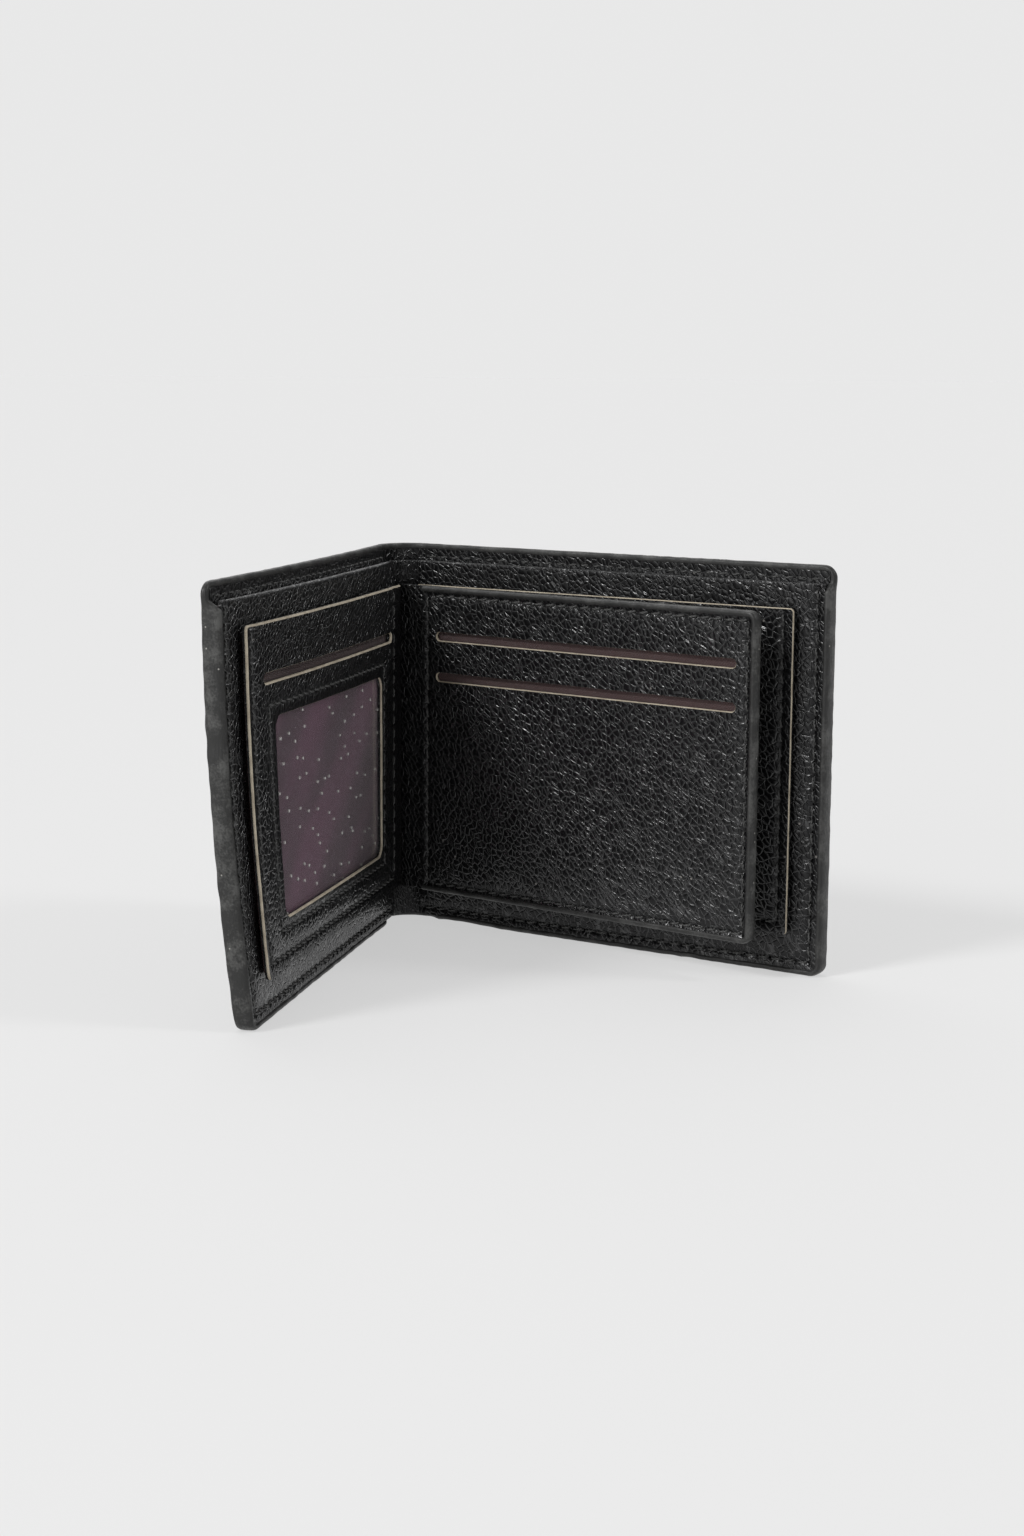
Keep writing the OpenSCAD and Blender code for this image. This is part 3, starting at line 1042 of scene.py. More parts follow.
class PebbleGrain(NodeGroup):
    """Tumbled lychee grain: soft cells cut by slanting creases."""

    name = "pebble grain"
    inputs = (("Vector", VECTOR, None), ("Cell", FLOAT, 1.0), ("Smooth", FLOAT, 0.0))
    outputs = (("Height", FLOAT), ("Crease", FLOAT))

    def wire(self, bench: NodeBench, given: Sockets, result: Sockets) -> None:
        """Build the grain from warped cells, slanting creases and fine pores."""
        scaled = bench.scaled(given["Vector"], given["Cell"])
        wobble = bench.add("TexNoise", None, Vector=scaled, Scale=0.7, Detail=1.0)
        centred = bench.add("VectorMath", {"operation": "SUBTRACT"},
                            i0=wobble.outputs[1], i1=(0.5, 0.5, 0.5)).outputs[0]
        bent = bench.add("VectorMath", {"operation": "MULTIPLY_ADD"},
                         i0=centred, i1=(0.55, 0.55, 0.0), i2=scaled).outputs[0]
        slanted = bench.mapped(bent, 44.0, (0.78, 1.15, 1.0))
        cells = bench.add("TexVoronoi", {"feature": "DISTANCE_TO_EDGE",
                                         "voronoi_dimensions": "2D"},
                          Vector=slanted, Scale=1.0, Randomness=0.95)
        nearest = bench.add("TexVoronoi", {"feature": "F1", "voronoi_dimensions": "2D"},
                            Vector=slanted, Scale=1.0, Randomness=0.95)
        dome = bench.ramp(cells.outputs["Distance"], 0.0, 0.17)
        swell = bench.ramp(cells.outputs["Distance"], 0.0, 0.55)
        streak = bench.noise(bench.mapped(bent, 46.0, (0.22, 0.6, 1.0)), 1.0, 0.0, 0.5)
        ridge = bench.math("ABSOLUTE", bench.math("SUBTRACT", streak, 0.5))
        valley = bench.ramp(ridge, 0.0, 0.05)
        fine = bench.noise(scaled, 4.5, 2.0, 0.5)
        tone = bench.add("SeparateColor", None, i0=nearest.outputs["Color"]).outputs[0]
        flat = bench.math("MULTIPLY", dome, bench.ramp(tone, 0.0, 1.0, 0.6, 0.8))
        rise = bench.math("ADD", flat, bench.math("MULTIPLY", swell, 0.25))
        cut = bench.math("MULTIPLY", rise, bench.ramp(valley, 0.0, 1.0, 0.5, 1.0))
        pored = bench.math("ADD", cut, bench.math("MULTIPLY", fine, 0.04))
        keep = bench.math("SUBTRACT", 1.0, bench.math("MULTIPLY", given["Smooth"], 0.45))
        bench.feed(result["Height"], bench.math("MULTIPLY", pored, keep))
        open_crease = bench.math("SUBTRACT", 1.0, bench.math("MINIMUM", dome, valley))
        bench.feed(result["Crease"], bench.math("MULTIPLY", open_crease, keep))


class Weave(NodeGroup):
    """A fine slanting weave."""

    name = "weave"
    inputs = (("Vector", VECTOR, None), ("Thread", FLOAT, 0.3))
    outputs = (("Height", FLOAT), ("Float", FLOAT))

    def wire(self, bench: NodeBench, given: Sockets, result: Sockets) -> None:
        """Build the weave from two crossing wave trains and a little slub."""
        rate = bench.math("DIVIDE", 2 * math.pi, given["Thread"])
        axes = bench.add("SeparateXYZ", None, i0=given["Vector"])
        x, y = axes.outputs[0], axes.outputs[1]
        warp = bench.math("SINE", bench.math("MULTIPLY", x, rate))
        weft = bench.math("SINE", bench.math("MULTIPLY", y, rate))
        diagonal = bench.math("SINE", bench.math("MULTIPLY", bench.math("ADD", x, y),
                                                 bench.math("MULTIPLY", rate, 0.5)))
        over = bench.ramp(diagonal, -0.4, 0.4)
        high = bench.add("Mix", {"data_type": "FLOAT"}, i0=over, i2=warp, i3=weft).outputs[0]
        slub = bench.noise(bench.mapped(given["Vector"], 0.0, (0.5, 3.0, 1.0)), 1.0, 2.0)
        bench.feed(result["Height"], bench.math("ADD", high, bench.math("MULTIPLY", slub, 0.8)))
        bench.feed(result["Float"], over)


class Dust(NodeGroup):
    """Sparse specks of dust."""

    name = "dust"
    inputs = (("Vector", VECTOR, None), ("Spacing", FLOAT, 2.0), ("Amount", FLOAT, 0.2))
    outputs = (("Mask", FLOAT),)

    def wire(self, bench: NodeBench, given: Sockets, result: Sockets) -> None:
        """Build the specks from the centres of scattered cells."""
        scaled = bench.scaled(given["Vector"], given["Spacing"])
        cells = bench.add("TexVoronoi", {"feature": "F1", "voronoi_dimensions": "2D"},
                          Vector=scaled, Scale=1.0)
        pick = bench.add("SeparateColor", None, i0=cells.outputs["Color"]).outputs[1]
        shown = bench.math("LESS_THAN", pick, given["Amount"])
        speck = bench.ramp(cells.outputs["Distance"], 0.04, 0.1, 1.0, 0.0)
        bench.feed(result["Mask"], bench.math("MULTIPLY", speck, shown))


class EdgeWear(NodeGroup):
    """Patchy rub marks where a mask says an edge is handled."""

    name = "edge wear"
    inputs = (("Vector", VECTOR, None), ("Edge", FLOAT, 0.0), ("Amount", FLOAT, 0.3))
    outputs = (("Mask", FLOAT),)

    def wire(self, bench: NodeBench, given: Sockets, result: Sockets) -> None:
        """Build the rub marks from coarse and fine noise."""
        coarse = bench.noise(given["Vector"], 0.16, 3.0, 0.6)
        fine = bench.noise(given["Vector"], 1.9, 4.0, 0.65)
        both = bench.math("ADD", coarse, bench.math("MULTIPLY", fine, 0.5))
        patch = bench.ramp(both, 0.68, 0.95)
        worn = bench.math("MULTIPLY", patch, given["Edge"])
        bench.feed(result["Mask"], bench.math("MULTIPLY", worn, given["Amount"], True))


PEBBLE, WEAVE, DUST, WEAR = PebbleGrain(), Weave(), Dust(), EdgeWear()


@dataclass(frozen=True)
class Finish:
    """A named surface finish."""

    name: str
    colour: Colour

    def material(self) -> bpy.types.Material:
        """Return the finish's material, making it the first time."""
        found = bpy.data.materials.get(self.name)
        if found:
            return found
        made = bpy.data.materials.new(self.name)
        made.use_nodes = True
        bench = NodeBench(made.node_tree)
        shader = made.node_tree.nodes["Principled BSDF"]
        leaf = bench.attribute("leaf_mm", "Vector")
        self.dress(bench, shader, leaf)
        return made

    def dress(self, bench: NodeBench, shader: bpy.types.Node, leaf: Socket) -> None:
        """Wire the finish into the shader.

        Args:
            bench: adds nodes to the material's tree.
            shader: the material's Principled BSDF.
            leaf: the piece's leaf coordinates in millimetres.
        """
        raise NotImplementedError


@dataclass(frozen=True)
class LeatherFinish(Finish):
    """Black grained leather with a semi-gloss top coat, and a painted highlight in its creases."""

    # Painted highlight: the creases get this lighter colour, standing in for glints on their walls.
    painted_crease_highlight: Colour = (0.014, 0.014, 0.0145)
    cell: float = 1.4
    depth: float = 0.2
    gloss: float = 0.34
    creased: float = 0.3
    coat: float = 0.9
    dust: Colour = (0.16, 0.15, 0.14)

    def dress(self, bench: NodeBench, shader: bpy.types.Node, leaf: Socket) -> None:
        """Wire the grain, the pressed bands, the dust and the painted highlight in the creases."""
        pressed = bench.attribute("pressed", "Fac")
        grain = PEBBLE.place(bench, Vector=leaf, Cell=self.cell, Smooth=pressed)
        dust = DUST.place(bench, Vector=leaf, Spacing=3.6, Amount=0.02).outputs[0]
        # Painted highlight: the colour is mixed towards the lighter crease colour wherever the grain
        # is creased.
        shade = bench.mix(grain.outputs["Crease"], self.colour, self.painted_crease_highlight)
        bench.feed(shader.inputs["Base Color"], bench.mix(dust, shade, self.dust))
        drift = bench.noise(leaf, 0.09, 3.0)
        rough = bench.ramp(grain.outputs["Crease"], 0.0, 1.0, self.gloss, self.creased)
        uneven = bench.math("MULTIPLY", bench.math("SUBTRACT", drift, 0.5), 0.16)
        bench.feed(shader.inputs["Roughness"], bench.math("ADD", rough, uneven, True))
        normal = bench.bump(shader, grain.outputs["Height"], self.depth)
        bench.feed(shader.inputs["Coat Weight"],
                   bench.ramp(grain.outputs["Crease"], 0.0, 0.7, self.coat * 0.25, self.coat))
        bench.feed(shader.inputs["Coat Normal"], normal)
        shader.inputs["Coat Roughness"].default_value = 0.24
        shader.inputs["Specular IOR Level"].default_value = 0.22


@dataclass(frozen=True)
class PaintFinish(Finish):
    """Rubbery edge paint, laid on by hand and a little uneven."""

    rubbed: Colour = (0.14, 0.14, 0.135)
    dust: Colour = (0.3, 0.29, 0.27)
    gloss: float = 0.4

    def dress(self, bench: NodeBench, shader: bpy.types.Node, leaf: Socket) -> None:
        """Wire the brush marks, the rubbed places and the dust."""
        edge = bench.attribute("pressed", "Fac")
        worn = WEAR.place(bench, Vector=leaf, Edge=edge, Amount=0.5).outputs[0]
        dust = DUST.place(bench, Vector=leaf, Spacing=2.4, Amount=0.1).outputs[0]
        shade = bench.mix(worn, self.colour, self.rubbed)
        bench.feed(shader.inputs["Base Color"], bench.mix(dust, shade, self.dust))
        brushed = bench.noise(bench.mapped(leaf, 0.0, (0.5, 2.2, 2.2)), 1.0, 4.0, 0.6)
        bench.feed(shader.inputs["Roughness"],
                   bench.ramp(brushed, 0.2, 0.8, self.gloss - 0.06, self.gloss + 0.16))
        bench.bump(shader, brushed, 0.09)
        shader.inputs["Specular IOR Level"].default_value = 0.4


@dataclass(frozen=True)
class RawEdgeFinish(Finish):
    """The pale fibres of a cut edge."""

    stain: Colour = (0.2, 0.165, 0.12)

    def dress(self, bench: NodeBench, shader: bpy.types.Node, leaf: Socket) -> None:
        """Wire the fibres and stains."""
        fibre = bench.noise(leaf, 5.5, 4.0, 0.65)
        patch = bench.noise(leaf, 0.35, 3.0, 0.55)
        both = bench.ramp(bench.math("ADD", bench.math("MULTIPLY", fibre, 0.5), patch),
                          0.55, 0.98)
        bench.feed(shader.inputs["Base Color"], bench.mix(both, self.colour, self.stain))
        bench.feed(shader.inputs["Roughness"], bench.ramp(fibre, 0.0, 1.0, 0.72, 0.95))
        bench.bump(shader, fibre, 0.1)


@dataclass(frozen=True)
class ClothFinish(Finish):
    """Woven lining cloth, with broad streaks of painted sheen where asked."""

    dark: Colour = (0.03, 0.01, 0.012)
    thread: float = 0.36
    rough: float = 0.62
    sheen: float = 0.25
    relief: float = 0.05
    # Painted sheen: how far the broad streaks lighten the colour, standing in for the satin's sheen.
    painted_sheen: float = 0.0

    def dress(self, bench: NodeBench, shader: bpy.types.Node, leaf: Socket) -> None:
        """Wire the weave, its lit floats and broad soft streaks of painted sheen, a lighter copy of
        the colour where satin catches the light.
        """
        weave = WEAVE.place(bench, Vector=leaf, Thread=self.thread)
        woven = bench.mix(weave.outputs["Float"], self.colour, self.dark)
        broad = bench.noise(bench.mapped(leaf, 38.0, (0.016, 0.075, 1.0)), 1.0, 2.0)
        # Painted sheen: broad diagonal streaks mixed towards a lighter copy of the colour.
        lit = bench.ramp(broad, 0.35, 0.72, 0.0, self.painted_sheen)
        soft = tuple(min(1.0, c * 1.9) for c in self.colour)
        bench.feed(shader.inputs["Base Color"], bench.mix(lit, woven, soft))
        bench.feed(shader.inputs["Roughness"],
                   bench.ramp(weave.outputs["Float"], 0.0, 1.0, self.rough - 0.1, self.rough))
        bench.bump(shader, weave.outputs["Height"], self.relief)
        shader.inputs["Sheen Weight"].default_value = self.sheen
        shader.inputs["Sheen Roughness"].default_value = 0.45


@dataclass(frozen=True)
class FilmFinish(Finish):
    """Clear window film with dust and light scratches."""

    clarity: float = 1.45

    def dress(self, bench: NodeBench, shader: bpy.types.Node, leaf: Socket) -> None:
        """Wire the film so that only its reflection, dust and scratches show."""
        dust = DUST.place(bench, Vector=leaf, Spacing=5.6, Amount=0.75).outputs[0]
        hair = bench.noise(bench.mapped(leaf, 62.0, (0.05, 2.6, 1.0)), 1.0, 2.0)
        scratch = bench.ramp(hair, 0.68, 0.76, 0.0, 0.12)
        mark = bench.math("MAXIMUM", dust, scratch)
        bench.feed(shader.inputs["Base Color"], bench.mix(mark, (1.0, 1.0, 1.0), self.colour))
        bench.feed(shader.inputs["Metallic"], bench.math("SUBTRACT", 1.0, mark, True))
        bench.feed(shader.inputs["Roughness"],
                   bench.ramp(bench.noise(leaf, 0.2, 3.0), 0.3, 0.7, 0.1, 0.2))
        gloss = bench.add("Fresnel", None, IOR=self.clarity).outputs[0]
        shown = bench.math("MAXIMUM", bench.math("MULTIPLY", gloss, 0.26),
                           bench.math("MULTIPLY", mark, 0.9))
        bench.feed(shader.inputs["Alpha"], shown)
        bench.bump(shader, bench.noise(leaf, 0.5, 2.0), 0.02)


@dataclass(frozen=True)
class ThreadFinish(Finish):
    """Waxed black sewing thread."""

    lint: Colour = (0.12, 0.12, 0.115)

    def dress(self, bench: NodeBench, shader: bpy.types.Node, leaf: Socket) -> None:
        """Wire the fibres of the thread."""
        fibre = bench.noise(bench.mapped(leaf, 35.0, (3.0, 11.0, 3.0)), 1.0, 3.0, 0.6)
        lint = bench.ramp(fibre, 0.62, 0.8)
        bench.feed(shader.inputs["Base Color"], bench.mix(lint, self.colour, self.lint))
        bench.feed(shader.inputs["Roughness"], bench.ramp(fibre, 0.2, 0.8, 0.28, 0.5))
        bench.bump(shader, fibre, 0.05)


@dataclass(frozen=True)
class BackdropFinish(Finish):
    """The plain pale studio floor, a little lit from below so that shadows stay faint."""

    glow: float = 0.532

    def dress(self, bench: NodeBench, shader: bpy.types.Node, leaf: Socket) -> None:
        """Set the plain floor."""
        shader.inputs["Base Color"].default_value = (*self.colour, 1.0)
        shader.inputs["Emission Color"].default_value = (1.0, 1.0, 1.0, 1.0)
        shader.inputs["Emission Strength"].default_value = self.glow
        shader.inputs["Roughness"].default_value = 0.9
        shader.inputs["Specular IOR Level"].default_value = 0.0


LEATHER = LeatherFinish("black pebbled leather", (0.003, 0.003, 0.0034))
COVER_LEATHER = LeatherFinish("black cover leather", (0.0055, 0.0055, 0.006))
PAINT = PaintFinish("edge paint", (0.016, 0.016, 0.0155), gloss=0.42)
RAW_EDGE = RawEdgeFinish("raw leather edge", (0.52, 0.46, 0.36), stain=(0.36, 0.31, 0.235))
LINING = ClothFinish("maroon twill lining", (0.05, 0.017, 0.015))
# The satin's broad lighter streaks are painted sheen.
SATIN = ClothFinish("plum satin lining", (0.072, 0.022, 0.047), dark=(0.042, 0.013, 0.028),
                    thread=0.24, rough=0.42, sheen=0.5, relief=0.006, painted_sheen=0.85)
FILM = FilmFinish("clear window film", (0.62, 0.6, 0.58))
THREAD = ThreadFinish("black waxed thread", (0.045, 0.045, 0.044))
BACKDROP = BackdropFinish("pale studio floor", (0.25, 0.25, 0.25))


# ---- the wallet ------------------------------------------------------------


def cut_leather() -> list[bpy.types.Material]:
    """Return the finishes of a die-cut panel: its face, then its raw edge."""
    return [LEATHER.material(), RAW_EDGE.material()]


@dataclass(frozen=True)
class SewingPlan:
    """Seams and cuts that the leaves share.

    The starts and the gaps say where the runs of stitching begin and end. The seats say how deep
    their grooves lie below each face. The paint lap is how far edge paint stands over the faces.
    """

    border: float = 3.2
    pocket: float = 2.8
    page: float = 2.3
    window_gap: float = 2.6
    strip_seam: float = 6.6
    cover_start: float = 0.5
    panel_start: float = 1.2
    strip_gap: float = 2.0
    corner_gap: float = 1.0
    cover_seat: float = 0.36
    border_seat: float = 0.42
    facing_seat: float = 0.14
    panel_seat: float = 0.4
    paint_lap: float = 0.12
    slot_u0: float = 9.7
    slot_length: float = 86.7
    slot_height: float = 2.1
    slot_level: float = 73.2
    slot_step: float = 10.0
    window: Cut = Cut(17.9, 90.8, 20.4, 64.4, 3.0, skive=(0.25, 0.2, 1.0, 0.2))

    def slot(self, number: int) -> Cut:
        """Return a card slot, counted from the top."""
        z = self.slot_level - number * self.slot_step
        half = self.slot_height / 2
        return Cut(self.slot_u0, self.slot_u0 + self.slot_length, z - half, z + half,
                   half * 0.98, skive=(0.7, 0.7, 1.0, 0.25))

    def window_seams(self) -> list[Seam]:
        """Return the four runs of stitching round the window."""
        c = self.window.grown(self.window_gap)
        ring = [(c.u0, c.z0), (c.u1, c.z0), (c.u1, c.z1), (c.u0, c.z1), (c.u0, c.z0)]
        return [Seam(a, b) for a, b in zip(ring, ring[1:])]


PLAN = SewingPlan()


def report(piece: bpy.types.Object) -> bpy.types.Object:
    """Log a finished piece and return it."""
    LOG.info("%s: %d faces", piece.name, len(piece.data.polygons))
    return piece


def settle(piece: bpy.types.Object, node: str, body: Body) -> bpy.types.Object:
    """Let a piece stand for its CAD node and ride on a body.

    Args:
        piece: the finished piece.
        node: name of the CAD node it replaces.
        body: the body that carries it.

    Returns:
        The same piece.
    """
    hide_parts(node)
    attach(piece, body.value)
    return report(piece)


def lay_cloth(cloth: Sheet, finish: ClothFinish, node: str) -> None:
    """Args:
        cloth: the cloth, on a leaf plane.
        finish: its finish.
        node: name of the CAD node it replaces.
    """
    piece = settle(cloth.build([finish.material()]), node, cloth.plane.body)


def sew(name: str, plane: LeafPlane, rows: Sequence[tuple[Seam, float, Facing]], node: str) -> None:
    """Build the stitches of a few seams as one piece.

    Args:
        name: piece name.
        plane: the leaf that is sewn.
        rows: each seam, the level of its groove and the face it shows on.
        node: name of the CAD node that the piece replaces.
    """
    run = StitchRun(name, plane, rows)
    settle(run.build(THREAD.material()), node, plane.body)


@dataclass
class CoverLeaf:
    """One cover: leather outside, linings, inner panel, painted edge and its stitches."""

    side: str
    plane: LeafPlane
    spine_width: float
    corner: float = 3.0
    band: float = 1.3
    foot_lift: float = 0.0
    lift_at: float = 13.0
    lift_reach: float = 7.5
    spine_taper: float = 7.0
    top_gap: float = 2.2
    top_taper: float = 2.6
    seed: int = 1

    def extent(self, node: str) -> Extent:
        """Return a node's box with its spine end drawn to the axis."""
        e = self.plane.extent(f"{node}_{self.side}")
        return Extent(0.0, e.u1, e.w0, e.w1, e.z0, e.z1)

    def finish_piece(self, piece: bpy.types.Object, node: str, slot: str) -> None:
        """Let a piece stand for this side's CAD node and ride on this leaf's body."""
        settle(piece, f"{node}_{self.side}", self.plane.body)

    def border_lines(self, cover: Extent) -> tuple[float, float, float]:
        """Return the u of the border seam's free side, and the z of its foot and its top."""
        inset = self.band - PLAN.border
        return cover.u1 + inset, PLAN.border, cover.z1 + inset

    def cover_seams(self, cover: Extent) -> list[Seam]:
        """Return the border seam's foot, top and free side, as seen from outside."""
        far, low, high = self.border_lines(cover)
        start, gap = PLAN.cover_start, PLAN.corner_gap
        return [Seam((start, low), (far, low)), Seam((start, high), (far, high)),
                Seam((far, low + gap), (far, high - gap))]

    def panel_seams(self, panel: Extent) -> list[Seam]:
        """Return the border seam's foot and free side, as seen from inside."""
        far, low, _ = self.border_lines(panel)
        gap = PLAN.corner_gap
        return [Seam((PLAN.panel_start, low), (far, low)),
                Seam((far, low + gap), (far, panel.z1 - gap))]

    def shift(self) -> tuple[tuple[float, float], float]:
        """Return the texture shift and sign that carry the pattern round the spine."""
        return ((0.0, 0.0), 1.0) if self.side == "right" else ((-self.spine_width, 0.0), -1.0)

    def build(self) -> None:
        """Build every piece that both covers have."""
        self.build_outside()
        self.build_linings()
        self.build_inner_panel()
        self.build_bead()
        self.build_stitches()

    def build_outside(self) -> None:
        """Build the cover leather and the facing behind the bill compartment."""
        size = self.extent("outer_cover")
        far, low, high = self.border_lines(size)
        seams = self.cover_seams(size)
        shift, sign = self.shift()
        relief = Relief(seams, fields=[Cut(-BEYOND, far, low, high, 0)], pad=0.35, ripple=0.16,
                        ripple_wave=24.0, seed=self.seed + 20)
        outer = Sheet(f"cover_leather_{self.side}", self.plane, size, Facing.OUTSIDE, relief,
                      step=0.8, corner=self.corner - self.band, texture_shift=shift,
                      texture_sign=sign)
        self.finish_piece(outer.build([COVER_LEATHER.material()]), "outer_cover", "leather")
        size = self.extent("cover_facing")
        relief = Relief([seams[1]], pad=0.1, groove=0.12, ripple=0.05, seed=self.seed + 30,
                        pressed_in=[Cut(-BEYOND, size.u1 + BEYOND, high + 0.3,
                                        size.z1 + BEYOND, 0)])
        facing = Sheet(f"bill_facing_{self.side}", self.plane, size, Facing.INSIDE, relief,
                       step=0.9, texture_shift=(sign * 160, 20))
        self.finish_piece(facing.build([LEATHER.material()]), "cover_facing", "leather")

    def build_linings(self) -> None:
        """Build the two lining cloths of the bill compartment."""
        for node, name in (("cover_lining", "bill_lining"), ("divider_lining", "panel_lining")):
            size = self.extent(node)
            facing = Facing.INSIDE if node == "cover_lining" else Facing.OUTSIDE
            relief = Relief(ripple=0.06, ripple_wave=14.0, seed=self.seed + 40)
            cloth = Sheet(f"{name}_{self.side}", self.plane, size, facing, relief, step=2.2)
            lay_cloth(cloth, LINING, f"{node}_{self.side}")

    def build_inner_panel(self) -> None:
        """Build the inner panel with its turned top edge."""
        size = self.extent("inner_panel")
        far, low, _ = self.border_lines(size)
        grained = Cut(-BEYOND, far, low, size.z1 - 0.6, 0)
        relief = Relief(self.panel_seams(size), [grained], ripple=0.12, seed=self.seed)
        panel = Sheet(f"inner_panel_leather_{self.side}", self.plane, size, Facing.INSIDE, relief,
                      step=0.66, bevel=0.45, bevel_sides=(False, False, False, True),
                      texture_shift=(300 * self.seed, 40.0))
        self.finish_piece(panel.build([LEATHER.material()]), "inner_panel", "leather")

    def outline(self) -> np.ndarray:
        """Return the edge's path, with the foot lifted a little where it leaves the spine."""
        path = edge_path(0.0, self.plane.width, 0.0, self.plane.height, self.corner)
        at_foot = path[:, 1] < self.plane.height / 2
        lift = np.exp(-(((path[:, 0] - self.lift_at) / self.lift_reach) ** 2))
        path[:, 1] += self.foot_lift * lift * at_foot
        return path

    def build_bead(self) -> None:
        """Build the painted edge, deep where every layer is closed and thin at the top."""
        path = self.outline()
        cover, panel = self.extent("outer_cover"), self.extent("inner_panel")
        at_foot = path[:, 1] < self.plane.height / 2
        near_spine = smooth(np.clip(path[:, 0] / self.spine_taper, 0, 1))
        split_at = panel.z1 - self.top_gap
        open_top = smooth(np.clip((path[:, 1] - split_at) / self.top_taper, 0, 1))
        closed = np.where(at_foot, near_spine, 1 - open_top)
        low = cover.w0 - PLAN.paint_lap + (panel.w0 - cover.w0) * closed
        high = np.full(len(path), cover.w1 + PLAN.paint_lap)
        bead = Bead(f"painted_edge_{self.side}", self.plane, path, low, high,
                    seed=self.seed + 50)
        self.finish_piece(bead.build(PAINT.material()), "edge_paint", "edge_paint")

    def build_stitches(self) -> None:
        """Build the seam round the cover, outside and inside."""
        cover, panel = self.extent("outer_cover"), self.extent("inner_panel")
        seams = self.cover_seams(cover)
        level = cover.w1 - PLAN.cover_seat
        sew(f"cover_stitches_{self.side}", self.plane,
            [(seam, level, Facing.OUTSIDE) for seam in seams], f"cover_stitching_{self.side}")
        rows = [(seams[1], self.extent("cover_facing").w0 + PLAN.facing_seat, Facing.INSIDE)]
        rows += [(seam, panel.w0 + PLAN.border_seat, Facing.INSIDE)
                 for seam in self.panel_seams(panel)]
        sew(f"border_stitches_{self.side}", self.plane, rows, f"border_stitching_{self.side}")


@dataclass
class PocketSet:
    """The pocket panel sewn on an inner panel, with what lies behind it."""

    side: str
    plane: LeafPlane
    panel_node: str
    cuts: Sequence[Cut]
    windowed: bool = False
    bevel: float = 0.2
    pale_share: float = 0.4
    tuck: float = 1.6
    seed: int = 60

    def seams(self, size: Extent) -> list[Seam]:
        """Return the seams that hold the panel on its three closed sides.

        Args:
            size: the panel's box.

        Returns:
            The foot, the free side and the spine side.
        """
        far, low = size.u1 - PLAN.pocket, size.z0 + PLAN.pocket
        near, gap = PLAN.strip_seam, PLAN.corner_gap
        return [Seam((near, low), (far, low)),
                Seam((far, low + gap), (far, size.z1 - gap)),
                Seam((near, low + gap), (near, size.z1 - gap))]

    def build(self) -> None:
        """Build the panel, its lining and its stitches."""
        size = self.plane.extent(self.panel_node)
        seams = self.seams(size)
        far, low = size.u1 - PLAN.pocket, size.z0 + PLAN.pocket
        fields = [Cut(PLAN.strip_seam, far, low, size.z1 + BEYOND, 0)]
        pressed = [PLAN.window.grown(PLAN.window_gap)] if self.windowed else []
        round_window = PLAN.window_seams() if self.windowed else []
        relief = Relief(seams + round_window, fields, pressed, ripple=0.09, ripple_wave=19.0,
                        seed=self.seed)
        panel = Sheet(f"{self.panel_node}_leather", self.plane, size, Facing.INSIDE, relief,
                      step=0.62, cuts=self.cuts, corner=1.0, bevel=self.bevel,
                      bevel_sides=(False, True, False, True), wall=Wall.RAW,
                      pale_share=self.pale_share,
                      texture_shift=(500 + self.seed * 9, 80.0))
        settle(panel.build(cut_leather()), self.panel_node, self.plane.body)
        self.build_lining()
        level = size.w0 + PLAN.panel_seat
        sew(f"pocket_stitches_{self.side}", self.plane,
            [(seam, level, Facing.INSIDE) for seam in seams], f"pocket_stitching_{self.side}")
        if self.windowed:
            self.build_window(size)

    def build_lining(self) -> None:
        """Build the pocket's lining cloth."""
        node = f"pocket_lining_{self.side}"
        e = self.plane.extent(node)
        size = Extent(e.u0, e.u1 - self.tuck, e.w0, e.w1, e.z0, e.z1 - self.tuck)
        relief = Relief(ripple=0.08, ripple_wave=12.0, seed=self.seed + 4)
        cloth = Sheet(f"pocket_cloth_{self.side}", self.plane, size, Facing.INSIDE, relief,
                      step=2.0)
        lay_cloth(cloth, LINING, node)

    def build_window(self, panel: Extent) -> None:
        """Build the window's film, its satin lining and its stitches.

        Args:
            panel: the box of the panel that the window is cut in.
        """
        size = self.plane.extent("window_film")
        w, inset, past = PLAN.window, 1.3, 3
        pressed_line = [
            Seam((w.u0 + inset, w.z0 - past), (w.u0 + inset, w.z1 + past)),
            Seam((w.u0 - past, w.z0 + inset), (w.u1 + past, w.z0 + inset)),
        ]
        relief = Relief(ripple=0.03, ripple_wave=22.0, ridges=pressed_line, seed=self.seed + 6)
        film = Sheet("clear_film", self.plane, size, Facing.INSIDE, relief, step=0.9)
        settle(film.build([FILM.material()]), "window_film", self.plane.body)
        size = self.plane.extent("window_lining")
        relief = Relief(ripple=0.03, ripple_wave=26.0, sink=0.08, seed=self.seed + 8)
        satin = Sheet("satin_backing", self.plane, size, Facing.INSIDE, relief, step=1.4)
        lay_cloth(satin, SATIN, "window_lining")
        level = panel.w0 + PLAN.panel_seat
        sew("window_stitches", self.plane,
            [(seam, level, Facing.INSIDE) for seam in PLAN.window_seams()], "window_stitching")


Stretch = tuple[str, Body, Body, float, float]  # name, the bodies it joins, first and last angle


